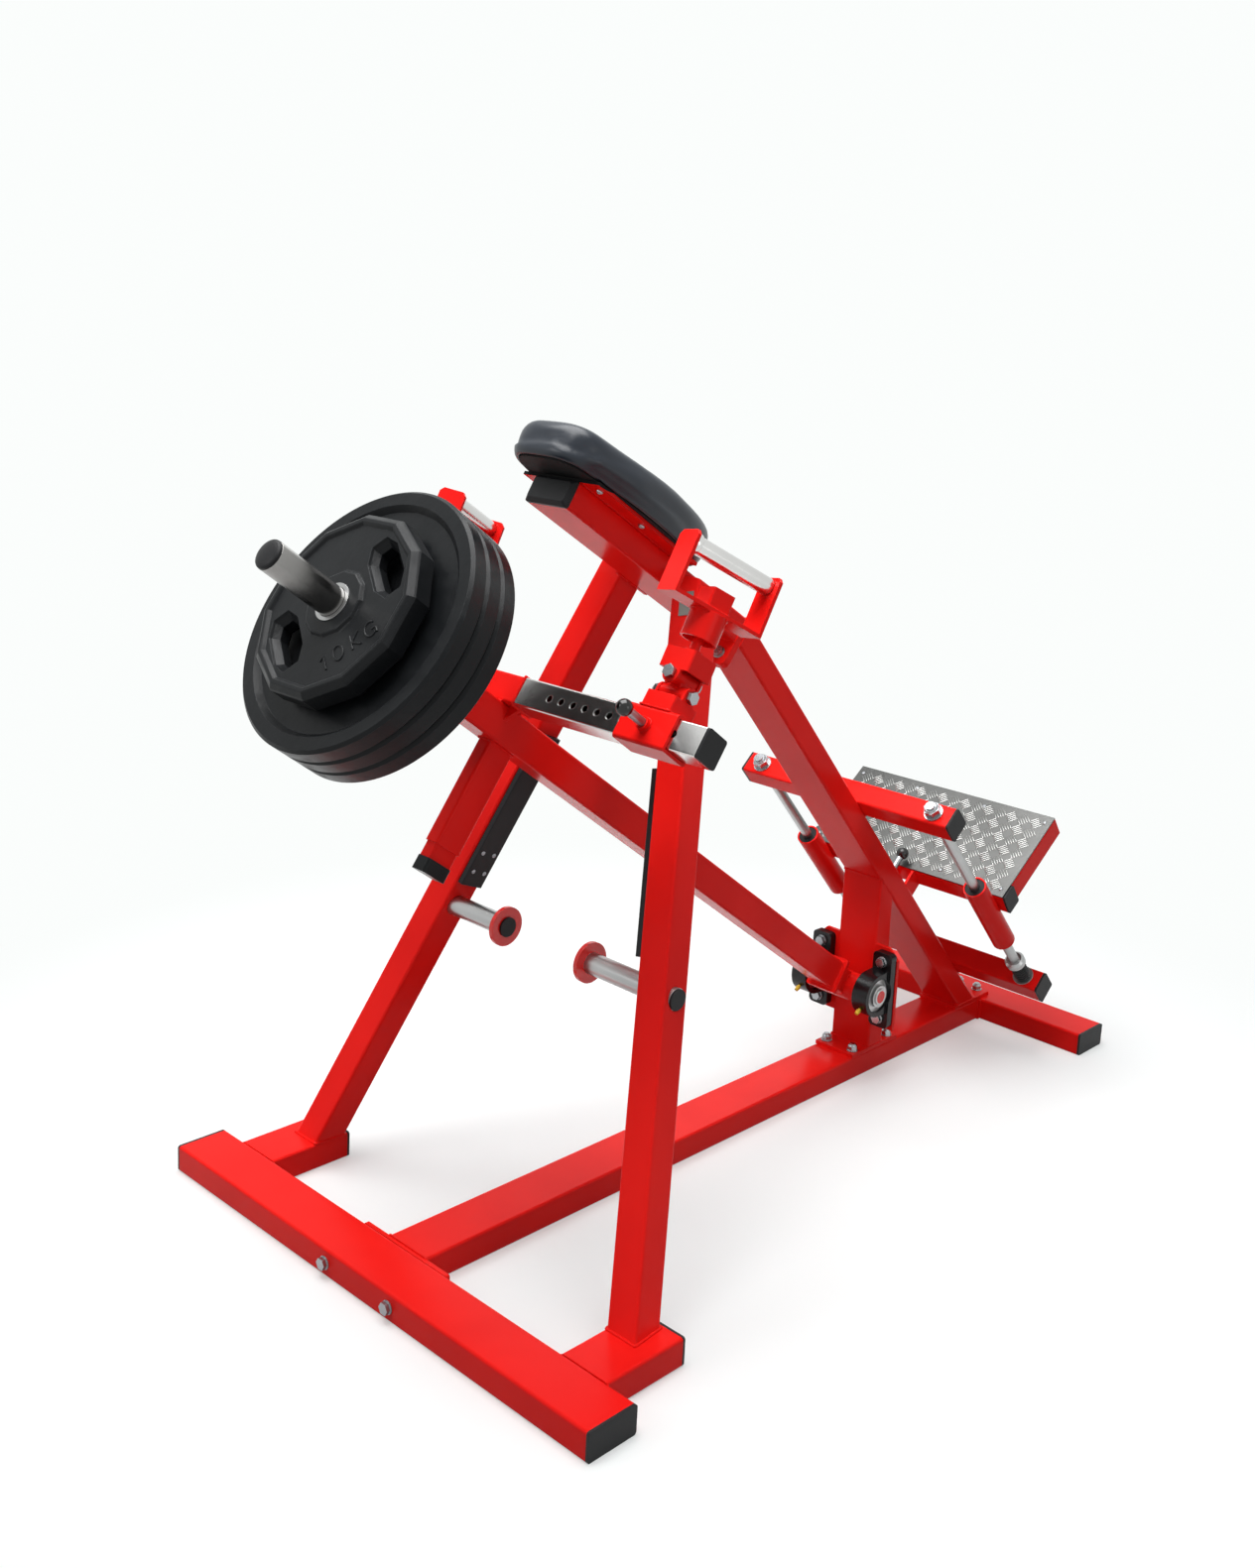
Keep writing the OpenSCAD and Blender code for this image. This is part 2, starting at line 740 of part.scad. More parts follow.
module bearing_housings() {
    color(black) difference() {
        for (s = [-1, 1]) translate([s * bearing_x, pivot_y, pivot_z]) {
            translate([-19, 0, 0]) rotate([90, 0, 90]) linear_extrude(38) housing_outline();
            // Foot with rounded ends, which stops short of the plate's face at its ends
            translate([0, bearing_h, 0]) rotate([90, 0, 0]) linear_extrude(bearing_foot)
                round_rect(bearing_w, bearing_len, 10);
        }
        translate([0, pivot_y, pivot_z]) rod_x(insert_r + loose, -2 * bearing_x, 2 * bearing_x);
        bearing_bolt_places() rod_y(bolt_d / 2 + loose, -bearing_foot - eps, eps);
    }
}

// Steel insert: the outer ring fills the housing, the inner ring holds the shaft
module bearing_inserts() {
    color(steel) for (s = [-1, 1]) translate([s * bearing_x, pivot_y, pivot_z]) difference() {
        union() {
            rod_x(insert_r, -13, 13);
            rod_x(shaft_d / 2 + 6, -21, 21);
        }
        rod_x(shaft_d / 2 + fit, -40, 40);
        for (e = [-1, 1]) translate([e * 13, 0, 0]) difference() {
            rod_x(insert_r - 3, -1.5, 1.5);
            rod_x(shaft_d / 2 + 7, -4, 4);
        }
    }
}

// Grease nipples with their caps, at the front of the housings
module grease_caps() {
    color([0.95, 0.75, 0.1]) for (s = [-1, 1])
        translate([s * bearing_x, pivot_y, pivot_z]) rotate([32, 0, 0]) translate([0, -bearing_r, 0])
            rotate([90, 0, 0]) {
                translate([0, 0, 0.3]) cylinder(d = 7, h = 6);
                translate([0, 0, 5]) cylinder(d1 = 10, d2 = 8, h = 9);
            }
}

// ---------------------------------------------------------------- chest pad

pad_steps = 48;
pad_bulge = 7;

// Half width of the pad's outline at a distance from its middle: a waist near the front
function pad_factor(y) = 1 - 0.12 * exp(-pow((y + pad_len * 0.30) / (pad_len * 0.16), 2))
    - 0.10 * exp(-pow((y - pad_len * 0.5) / (pad_len * 0.3), 2));
function power(v, e) = sign(v) * pow(abs(v), e);
// One point of the outline, drawn in by an inset
function pad_point(a, inset) = let (y = (pad_len / 2 - inset) * power(sin(a), 0.62))
    [(pad_w / 2 * pad_factor(y) - inset) * power(cos(a), 0.62), y];
// Rings from the underside to the crown: inset and height
pad_rings = [
    [pad_bulge + 4, 0], [pad_bulge - 1, 4], [pad_bulge - 4, 12], [1.5, 24], [0, 36], [2, 46],
    [6, 53], [13, 58.5], [26, 62], [48, 64.5]
];
pad_scale = pad_t / 66;

module chest_pad() {
    n = len(pad_rings);
    m = pad_steps;
    points = concat(
        [for (r = pad_rings, j = [0 : m - 1])
            let (q = pad_point(360 * j / m, r[0])) [q[0], q[1], r[1] * pad_scale]],
        [[0, 0, 0], [0, 0, pad_t]]);
    faces = concat(
        [for (i = [0 : n - 2], j = [0 : m - 1])
            let (a = i * m + j, b = i * m + (j + 1) % m) [a, a + m, b]],
        [for (i = [0 : n - 2], j = [0 : m - 1])
            let (a = i * m + j, b = i * m + (j + 1) % m) [b, a + m, b + m]],
        [for (j = [0 : m - 1]) [n * m, j, (j + 1) % m]],
        [for (j = [0 : m - 1]) [n * m + 1, (n - 1) * m + (j + 1) % m, (n - 1) * m + j]]);
    color(black) on_beam()
        translate([0, pad_len / 2 - pad_front, beam_h + pad_plate_t + board_t + 0.4])
            polyhedron(points, faces, convexity = 4);
}

// Board under the pad
module pad_board() {
    inset = 16;
    steps = 40;
    color(black) on_beam() difference() {
        translate([0, pad_len / 2 - pad_front, beam_h + pad_plate_t]) linear_extrude(board_t)
            polygon([for (j = [0 : steps - 1]) pad_point(360 * j / steps, inset)]);
        pad_screw_places() cylinder(d = 7, h = 3 * (pad_plate_t + board_t), center = true);
    }
}

// ---------------------------------------------------------------- lever

module pivot_shaft() {
    color(steel) translate([0, pivot_y, pivot_z]) rod_x(shaft_d / 2, -shaft_end, shaft_end);
}

module lever_arm() {
    hub_half = bearing_x - bearing_w / 2 - 2;
    color(red) on_lever() difference() {
        union() {
            rod_x(31, -hub_half, hub_half);
            bar_y(arm_w - 4, arm_w - 8, -arm_start + plate_t, -8);
            bar_y(arm_flange, arm_flange, -arm_start, -arm_start + plate_t);
            tube_y(arm_w, arm_w, -horn_at + plate_t, -arm_start + 1);
            // Painted middle piece of the handle rail
            translate([0, -rail_at, rail_n]) tube_x(rail_w, rail_w, -rail_mid, rail_mid);
            // Gussets between the arm and the rail
            for (s = [-1, 1]) scale([s, 1, 1]) rail_gusset();
            // Round plate at the arm's end
            rod_y(horn_plate_r, -horn_at, -horn_at + plate_t);
        }
        rod_x(shaft_d / 2 + 0.05, -200, 200);
    }
}

// Small triangle between the arm's side and the rail's underside
module rail_gusset() {
    translate([0, -rail_at - 4, arm_w / 2]) rotate([-90, 0, 0]) linear_extrude(plate_t)
        polygon([[arm_w / 2 - 1, 0], [rail_mid, 0], [arm_w / 2 - 1, 26]]);
}

// The two chrome halves of the handle rail with their rows of holes
module handle_rails() {
    color(steel) on_lever() for (s = [-1, 1]) translate([0, -rail_at, rail_n]) scale([s, 1, 1]) difference() {
        tube_x(rail_w, rail_w, rail_mid, rail_half, wall, 3);
        for (k = [0 : hole_count - 1]) translate([hole_first + k * hole_pitch, 0, 0])
            rod_y(rail_hole_d / 2, -rail_w, 0);
    }
}

// Caps on the rail's ends and on the horn
module lever_caps() {
    color(black) on_lever() {
        for (s = [-1, 1]) translate([s * rail_half, -rail_at, rail_n]) rotate([0, 0, -s * 90])
            end_cap(rail_w, rail_w);
        translate([0, -horn_at - horn_len, 0]) rotate([90, 0, 0]) {
            translate([0, 0, -14]) cylinder(d = horn_d - 8 - 2 * loose, h = 14);
            horn_dome();
        }
    }
}

// Domed head of the horn's cap, a little narrower than the horn
module horn_dome() {
    r = horn_d / 2 - 0.5;
    rotate_extrude() polygon(concat([[0, 0], [r, 0]], [for (a = [0 : 15 : 90]) [r * cos(a), 3 + 6 * sin(a)]]));
}

module stop_leg() {
    color(red) on_lever() translate([0, -stop_at, 0]) {
        translate([0, 0, -stop_end]) linear_extrude(stop_end - arm_w / 2)
            tube_section(stop_w, stop_d, wall, tube_r);
        translate([0, 0, -stop_inner_end]) linear_extrude(stop_inner_end - stop_end + 30)
            round_rect(stop_w - 2 * wall + 0.4, stop_d - 2 * wall + 0.4, 3);
    }
}

module stop_foot() {
    color(rubber) on_lever() translate([0, -stop_at, -foot_end])
        linear_extrude(foot_end - stop_inner_end) round_rect(stop_w + 2, stop_d - 4, 6);
}

module weight_horn() {
    color(steel) on_lever() difference() {
        rod_y(horn_d / 2, -horn_at - horn_len, -horn_at);
        rod_y(horn_d / 2 - 4, -horn_at - horn_len - eps, -horn_at + eps);
    }
}

// ---------------------------------------------------------------- weight plates

// Large round plate: a raised rim and hub with a shallow web between
module big_plate(at) {
    rim = 26;
    hub = 55;
    web = 9;
    edge = 5;
    r = plate_r;
    t = big_t;
    color(rubber) on_lever() translate([0, -at, 0]) rotate([90, 0, 0]) rotate_extrude($fn = 96)
        polygon([
            [bore_r, 0], [hub, 0], [hub + web, web], [r - rim - web, web], [r - rim, 0],
            [r - edge, 0], [r, edge], [r, t - edge], [r - edge, t], [r - rim, t],
            [r - rim - web, t - web], [hub + web, t - web], [hub, t], [bore_r, t]
        ]);
}
module plate_inner() {
    big_plate(stack_1);
}
module plate_middle() {
    big_plate(stack_2);
}
module plate_outer() {
    big_plate(stack_3);
}

// Small plate with twelve sides and two grip windows
module small_plate() {
    r = small_across / 2;
    bush_r = 32;
    color(rubber) on_lever() translate([0, -stack_4, 0]) rotate([90, 0, 0]) difference() {
        union() {
            rotate([0, 0, 15]) {
                translate([0, 0, 5]) cylinder(r = r, h = small_t - 16, $fn = 12);
                cylinder(r1 = r - 5, r2 = r, h = 5, $fn = 12);
                translate([0, 0, small_t - 11]) cylinder(r1 = r, r2 = r - 14, h = 6, $fn = 12);
            }
            cylinder(r = 62, h = small_t);
            // Raised frames round the windows
            for (s = [-1, 1]) window_place(s) linear_extrude(small_t - 1) grip_window(9);
        }
        for (s = [-1, 1]) window_place(s) translate([0, 0, -eps])
            linear_extrude(small_t + 2 * eps) grip_window(0);
        translate([0, 0, -eps]) cylinder(r = bush_r + 0.1, h = small_t + 2 * eps);
    }
}

// The windows lie on a line through the bore
window_angle = 50;
window_r = 98;
module window_place(s) {
    rotate([0, 0, window_angle + (s > 0 ? 0 : 180)]) translate([window_r, 0, 0]) children();
}

// Outline of a window, grown by a margin: a rounded slot across the radius
module grip_window(margin) {
    round_rect(38 + 2 * margin, 92 + 2 * margin, 15 + margin);
}

// Steel ring in the small plate's bore
module small_plate_bush() {
    color(steel) on_lever() translate([0, -stack_4, 0]) rotate([90, 0, 0]) difference() {
        cylinder(r = 32, h = small_t + 2);
        translate([0, 0, -eps]) cylinder(r = bore_r, h = small_t + 4);
    }
}

// ---------------------------------------------------------------- handles

// Sleeve that slides on the rail, with the lower link box on top
module sleeve(side) {
    color(red) on_lever() difference() {
        translate([side * pin_x(side), -rail_at, 0]) union() {
            translate([0, 0, rail_n]) tube_x(sleeve_w, sleeve_w, -sleeve_len / 2, sleeve_len / 2,
                sleeve_wall, 6);
            translate([0, 0, sleeve_top - 0.5]) linear_extrude(fork_wall_top)
                tube_section(link_w, link_w, link_t, 4);
            for (s = [-1, 1]) fork_ear(s);
            // Boss of the pin
            translate([0, -sleeve_w / 2 - 9, rail_n]) rod_y(11, 0, 10);
        }
        translate([side * pin_x(side), -rail_at, rail_n]) rod_y(pin_r + fit, -sleeve_w, -rail_w / 2);
    }
}
pin_r = 7.5;
nose_r = 5.5;

// Ear beside the lower link bolt
module fork_ear(s) {
    translate([s * (link_w / 2 - link_t / 2), 0, fork_n]) difference() {
        union() {
            rod_x(ear_r, -link_t / 2, link_t / 2);
            translate([-link_t / 2, -ear_r, -fork_rise]) cube([link_t, 2 * ear_r, fork_rise]);
        }
        rod_x(link_bolt_d / 2 + fit, -link_t, link_t);
    }
}
module sleeve_left() {
    sleeve(-1);
}
module sleeve_right() {
    sleeve(1);
}

// Pull pin: a ball on a round body, its nose just clear of the rail
module sleeve_pin(side) {
    color(black) on_lever() translate([side * pin_x(side), -rail_at, rail_n]) {
        rod_y(pin_r, -sleeve_w / 2 - 46, -sleeve_w / 2 - 1);
        rod_y(nose_r, -sleeve_w / 2 - 2, -rail_w / 2 - slip);
        translate([0, -sleeve_w / 2 - 57, 0]) rotate([90, 0, 0]) sphere(r = knob_r);
    }
}
module sleeve_pin_left() {
    sleeve_pin(-1);
}
module sleeve_pin_right() {
    sleeve_pin(1);
}

// Two barrels at right angles, one for each link bolt
module cross_block(side) {
    half = link_w / 2 - link_t - slip;
    color(red) on_fork(side) difference() {
        union() {
            rod_x(barrel_r, -half, half);
            translate([0, 0, link_gap]) rod_y(barrel_r, -half, half);
            translate([-10, -10, 0]) cube([20, 20, link_gap]);
        }
        rod_x(link_bolt_d / 2 + 0.05, -link_w, link_w);
        translate([0, 0, link_gap]) rod_y(link_bolt_d / 2 + 0.05, -link_w, link_w);
    }
}
module cross_block_left() {
    cross_block(-1);
}
module cross_block_right() {
    cross_block(1);
}

// The crossed bolts with their heads and nuts
module link_bolts(side) {
    out = link_w / 2 + slip;
    color(zinc) on_fork(side) {
        scale([side, 1, 1]) link_bolt(out);
        translate([0, 0, link_gap]) rotate([0, 0, -90]) link_bolt(out);
    }
}

// One bolt along X, its head at +X
module link_bolt(out) {
    rod_x(link_bolt_d / 2, -out - 14, out + 4);
    translate([out, 0, 0]) rotate([0, 90, 0]) hex(bolt_af, bolt_head);
    translate([-out, 0, 0]) rotate([0, -90, 0]) {
        hex(bolt_af, 9);
        translate([0, 0, 9]) cylinder(d1 = bolt_af * 0.96, d2 = bolt_af * 0.8, h = 3);
    }
}
module link_bolts_left() {
    link_bolts(-1);
}
module link_bolts_right() {
    link_bolts(1);
}

// Upper link box, open below, with the swivel's stud on top
module link_box(side) {
    color(red) on_fork(side) translate([0, 0, link_gap]) difference() {
        union() {
            translate([0, 0, box_low]) linear_extrude(box_h) tube_section(link_w, link_w, link_t, 4);
            translate([0, 0, box_top - link_t]) linear_extrude(link_t) round_rect(link_w, link_w, 4);
            for (s = [-1, 1]) translate([0, s * (link_w / 2 - link_t / 2), 0]) {
                rod_y(16, -link_t / 2, link_t / 2);
                translate([-16, -link_t / 2, 0]) cube([32, link_t, box_low + 2]);
            }
            translate([0, 0, box_top]) cylinder(r = 14, h = swivel_boss_h);
            cylinder(d = swivel_d, h = base_low - 1);
        }
        rod_y(link_bolt_d / 2 + fit, -link_w, link_w);
        translate([0, 0, -1]) cylinder(r = 24, h = box_top - link_t + 1);
    }
}
module link_box_left() {
    link_box(-1);
}
module link_box_right() {
    link_box(1);
}

// Collar, base, two cheeks and the rod that carries the grip
module handle_bracket(side) {
    color(red) on_swivel(side) difference() {
        union() {
            // Collar, hollow below, with a bush plate inside
            difference() {
                translate([0, 0, collar_low]) cylinder(r = collar_r, h = collar_h);
                translate([0, 0, collar_low - eps]) cylinder(r = collar_r - collar_t, h = 24 + eps);
            }
            // Base
            translate([-bracket_w / 2, -bracket_len / 2, base_low])
                cube([bracket_w, bracket_len, bracket_t]);
            // Housing over the swivel's end
            translate([0, 0, base_low + bracket_t]) linear_extrude(32) round_rect(42, 42, 3);
            // Cheeks
            for (s = [-1, 1]) translate([0, s * (bracket_len / 2 - bracket_t / 2), base_low])
                cheek();
            translate([0, 0, base_low + grip_up])
                rod_y(grip_rod_d / 2, -bracket_len / 2 + 1, bracket_len / 2 - 1);
        }
        translate([0, 0, collar_low]) cylinder(d = swivel_d + 2 * fit, h = collar_h + bracket_t + 20);
    }
}

// Cheek with its two upper corners cut off
module cheek() {
    w = bracket_w / 2;
    cut = 7;
    translate([0, bracket_t / 2, 0]) rotate([90, 0, 0]) linear_extrude(bracket_t)
        polygon([[-w, 0], [w, 0], [w, bracket_h - cut], [w - cut, bracket_h],
                 [-w + cut, bracket_h], [-w, bracket_h - cut]]);
}
module handle_bracket_left() {
    handle_bracket(-1);
}
module handle_bracket_right() {
    handle_bracket(1);
}

// Grip that turns on its rod
module grip(side) {
    half = bracket_len / 2 - bracket_t - 0.8;
    color(steel) on_swivel(side) translate([0, 0, base_low + grip_up]) difference() {
        rod_y(grip_d / 2, -half, half);
        rod_y(grip_rod_d / 2 + fit, -half - eps, half + eps);
    }
}
module grip_left() {
    grip(-1);
}
module grip_right() {
    grip(1);
}

// ---------------------------------------------------------------- guide rods

// Crossbar on the strut with a hole for each rod
module crossbar(at) {
    color(red) on_strut() difference() {
        translate([0, at + bar_w / 2, rod_n]) tube_x(bar_w, bar_w, -bar_len / 2, bar_len / 2);
        for (s = [-1, 1]) translate([s * rod_x, at, rod_n])
            rod_y(rod_d / 2 + loose, -eps, bar_w + eps);
    }
}
module upper_crossbar() {
    crossbar(-bar_up);
}
module lower_crossbar() {
    crossbar(bar_down);
}

module guide_rods() {
    color(steel) on_strut() for (s = [-1, 1]) translate([s * rod_x, 0, rod_n])
        rod_y(rod_d / 2, -bar_up - 2, bar_down + bar_w);
}

// Lock nuts and washers at both ends of the rods
module rod_nuts() {
    af = 30;
    d = 20;
    color(zinc) on_strut() for (s = [-1, 1]) translate([s * rod_x, 0, rod_n]) {
        translate([0, -bar_up, 0]) rotate([90, 0, 0]) rod_nut(af, d, 2);
        translate([0, bar_down + bar_w, 0]) rotate([-90, 0, 0]) rod_nut(af, d, 0);
    }
}
module rod_nut(af, d, start) {
    difference() {
        union() {
            cylinder(r = 20, h = 3);
            translate([0, 0, 3]) hex(af, 14);
            translate([0, 0, 17]) cylinder(d1 = af * 0.97, d2 = af * 0.8, h = 5);
            cylinder(d = d, h = 26);
        }
        if (start > 0)
            translate([0, 0, -eps]) cylinder(d = rod_d + 2 * loose, h = start + eps + 0.2);
    }
}

// Steel cup above each spring and washer below it
module buffer_collars() {
    r = rod_d / 2;
    color(steel) on_strut() for (s = [-1, 1]) translate([s * rod_x, 0, rod_n]) {
        translate([0, buffer_top, 0]) rotate([-90, 0, 0]) rotate_extrude()
            polygon([[r + loose, 0], [r + 6, 0], [r + 11, 5], [r + 11, collar_len], [r + loose, collar_len]]);
        translate([0, spring_bottom, 0]) rotate([-90, 0, 0]) difference() {
            cylinder(r = r + 12, h = washer_t);
            translate([0, 0, -eps]) cylinder(r = r + loose, h = washer_t + 2 * eps);
        }
    }
}

// One unbroken coil round the rod
coil_r = rod_d / 2 + 2.5 + wire_d / 2;
coil_gap_end = 0.3;
coil_len = spring_bottom - spring_top - 2 * coil_gap_end;
coil_run = coil_len - 2 * wire_d;
rings_per_curl = 8;
wire_sides = 6;
coil_rings = curls * rings_per_curl;
function coil_point(i) = let (a = 360 * i / rings_per_curl)
    [coil_r * cos(a), coil_r * sin(a), wire_d + coil_run * i / coil_rings];
coil_path = concat([[coil_r, 0, 0]], [for (i = [0 : coil_rings]) coil_point(i)],
    [[coil_point(coil_rings)[0], coil_point(coil_rings)[1], coil_len]]);
// Least distance between the wire and itself, one curl apart
coil_gap = min([for (i = [0 : coil_rings - rings_per_curl], j = [rings_per_curl - 2 : rings_per_curl + 2])
    if (i + j <= coil_rings) norm(coil_point(i + j) - coil_point(i)) - wire_d]);
echo(coil_gap = coil_gap);

function unit(v) = v / norm(v);
function path_dir(i) = i == 0 || i == len(coil_path) - 1 ? [0, 0, 1]
    : unit(coil_path[i + 1] - coil_path[i - 1]);
// Points of one ring of the wire, square to the path
function wire_ring(i) = let (
        t = path_dir(i),
        out = unit([coil_path[i][0], coil_path[i][1], 0]),
        side = unit(cross(t, out)),
        up = cross(side, t))
    [for (k = [0 : wire_sides - 1]) coil_path[i] + wire_d / 2 / cos(15)
        * (cos(360 * k / wire_sides) * up + sin(360 * k / wire_sides) * side)];

module coil() {
    n = len(coil_path);
    m = wire_sides;
    points = [for (i = [0 : n - 1]) each wire_ring(i)];
    faces = concat(
        [for (i = [0 : n - 2], k = [0 : m - 1])
            let (a = i * m + k, b = i * m + (k + 1) % m) [a, b, a + m]],
        [for (i = [0 : n - 2], k = [0 : m - 1])
            let (a = i * m + k, b = i * m + (k + 1) % m) [b, b + m, a + m]],
        [[for (k = [m - 1 : -1 : 0]) k]],
        [[for (k = [0 : m - 1]) (n - 1) * m + k]]);
    rotate([180, 0, 0]) mirror([0, 0, 1]) polyhedron(points, faces, convexity = 10);
}

module buffer_springs() {
    color(black) on_strut() for (s = [-1, 1])
        translate([s * rod_x, spring_top + coil_gap_end, rod_n]) rotate([-90, 0, 0]) coil();
}

// ---------------------------------------------------------------- platform

// Front tube with the plate that slides over the strut, and the rear tube
module platform_frame() {
    inner = tray_w / 2 - tray_t;
    color(red) difference() {
        union() {
            on_tray() translate([0, 0, -tread_t - tray_h / 2]) {
                translate([0, tray_t / 2, 0]) tube_x(tray_t, tray_h, -tray_w / 2, tray_w / 2);
                translate([0, tray_len - tray_t / 2, 0]) tube_x(tray_t, tray_h, -inner, inner);
            }
            on_strut() {
                translate([-lock_w / 2, tray_d - 44, beam_h + slip]) cube([lock_w, 96, lock_t]);
                for (s = [-1, 1]) translate([s * (lock_w / 2 - 3) - 3, tray_d + 4, beam_h + slip])
                    cube([6, 44, tray_n - beam_h + 1]);
                // Boss of the pin
                translate([0, lock_d, beam_h + slip]) cylinder(r = 11, h = lock_t + 10);
            }
        }
        on_strut() {
            translate([0, lock_d, beam_h]) cylinder(r = pin_r + fit, h = 60);
            tube_seats();
        }
    }
}

// Clearance round the sliding tubes where they meet the front tube
module tube_seats(gap = 0) {
    for (s = [-1, 1]) translate([s * rod_x, 0, rod_n])
        rod_y(tube_d / 2 + gap, tube_at - 40, tube_at + tube_len + 40);
}

module platform_sides() {
    color(red) difference() {
        on_tray() for (s = [-1, 1])
            translate([s * (tray_w / 2 - tray_t / 2), 0, -tread_t - tray_h / 2])
                tube_y(tray_t, tray_h, tray_t, tray_len);
        on_strut() tube_seats();
    }
}

module slide_tubes() {
    color(red) on_strut() for (s = [-1, 1]) translate([s * rod_x, 0, rod_n]) difference() {
        rod_y(tube_d / 2, tube_at, tube_at + tube_len);
        rod_y(tube_d / 2 - 3.5, tube_at - eps, tube_at + tube_len + eps);
    }
}

module tread_plate() {
    color([0.75, 0.76, 0.78]) on_tray() difference() {
        translate([-tray_w / 2, 1, -tread_t]) cube([tray_w, tray_len - 1, tread_t]);
        for (s = [-1, 1], y = [tray_t / 2, tray_len - tray_t / 2], x = [tray_w / 2 - 14, 90])
            translate([s * x, y, -tread_t - eps]) cylinder(d = 5, h = tread_t + 2 * eps);
        rotate([-strut_angle - tread_slope, 0, 0]) translate([0, -tray_d, -tray_n]) tube_seats(loose);
    }
}

// Plastic bushes at both ends of the sliding tubes
module slide_bushes() {
    bush_len = 40;
    bush_r = tube_d / 2 - 3.5 - loose / 2;
    color(black) on_strut() for (s = [-1, 1], y = [tube_at + 2, tube_at + tube_len - 2 - bush_len])
        translate([s * rod_x, y, rod_n]) difference() {
            rod_y(bush_r, 0, bush_len);
            rod_y(rod_d / 2 + fit, -eps, bush_len + eps);
        }
}

// Pull pin of the platform, its nose just clear of the strut
module platform_pin() {
    color(black) on_strut() translate([0, lock_d, beam_h]) {
        translate([0, 0, slip + 2]) cylinder(r = pin_r, h = 53);
        translate([0, 0, 68]) sphere(r = knob_r);
    }
}

module platform_caps() {
    color(black) on_tray() for (s = [-1, 1])
        translate([s * tray_w / 2, tray_t / 2, -tread_t - tray_h / 2])
            rotate([0, 0, -s * 90]) end_cap(tray_t, tray_h);
}

// ---------------------------------------------------------------- nodes

front_cross();
leg_stubs();
spine();
rear_cross();
post();
strut();
beam();
leg_left();
leg_right();
storage_pegs();
peg_plugs();
wear_strips();
upper_crossbar();
lower_crossbar();
guide_rods();
rod_nuts();
buffer_collars();
buffer_springs();
floor_caps();
bar_caps();
beam_cap();
frame_bolts();
bearing_housings();
bearing_inserts();
grease_caps();
pad_board();
chest_pad();
pivot_shaft();
lever_arm();
handle_rails();
lever_caps();
stop_leg();
stop_foot();
weight_horn();
plate_inner();
plate_middle();
plate_outer();
small_plate();
small_plate_bush();
sleeve_left();
sleeve_pin_left();
cross_block_left();
link_bolts_left();
link_box_left();
handle_bracket_left();
grip_left();
sleeve_right();
sleeve_pin_right();
cross_block_right();
link_bolts_right();
link_box_right();
handle_bracket_right();
grip_right();
platform_frame();
platform_sides();
slide_tubes();
tread_plate();
slide_bushes();
platform_pin();
platform_caps();
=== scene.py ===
"""Looks of a chest-supported row machine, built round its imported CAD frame.

Everything is in metres, in the frame of the part: the origin is on the floor under
the middle of the front cross tube, +X to the machine's right, +Y to its back, +Z up.
"""

from __future__ import annotations

import json
import logging
import math
from collections import defaultdict
from dataclasses import dataclass, field
from enum import Enum
from typing import Iterable, Mapping, Sequence, Union

import bmesh
import bpy
from mathutils import Matrix, Vector, noise


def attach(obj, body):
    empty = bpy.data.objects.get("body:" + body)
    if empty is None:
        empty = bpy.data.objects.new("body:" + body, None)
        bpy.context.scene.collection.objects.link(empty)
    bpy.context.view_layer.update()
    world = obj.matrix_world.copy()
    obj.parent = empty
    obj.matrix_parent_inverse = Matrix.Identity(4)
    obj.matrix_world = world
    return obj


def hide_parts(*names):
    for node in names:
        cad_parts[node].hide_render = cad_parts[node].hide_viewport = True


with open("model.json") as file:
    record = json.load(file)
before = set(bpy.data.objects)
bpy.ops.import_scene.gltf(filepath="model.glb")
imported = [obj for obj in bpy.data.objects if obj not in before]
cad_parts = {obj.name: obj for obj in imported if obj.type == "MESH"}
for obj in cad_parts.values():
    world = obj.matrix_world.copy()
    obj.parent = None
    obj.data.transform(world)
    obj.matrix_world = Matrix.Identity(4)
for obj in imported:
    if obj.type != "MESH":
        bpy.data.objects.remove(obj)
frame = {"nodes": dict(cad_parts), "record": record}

LOG = logging.getLogger("row_machine")
MM = 0.001
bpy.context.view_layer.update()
BACKDROP = (0.965, 0.985, 0.975, 1.0)
# Radius to which sharp edges are rounded in shading, in metres
EDGE_RADIUS = 0.0012
Value = Union["Field", float, int, bool, str, Sequence[float], bpy.types.ID]
Colour = tuple[float, float, float]
Outline = list[tuple[float, float, float]]


# ------------------------------------------------------------------ node maths


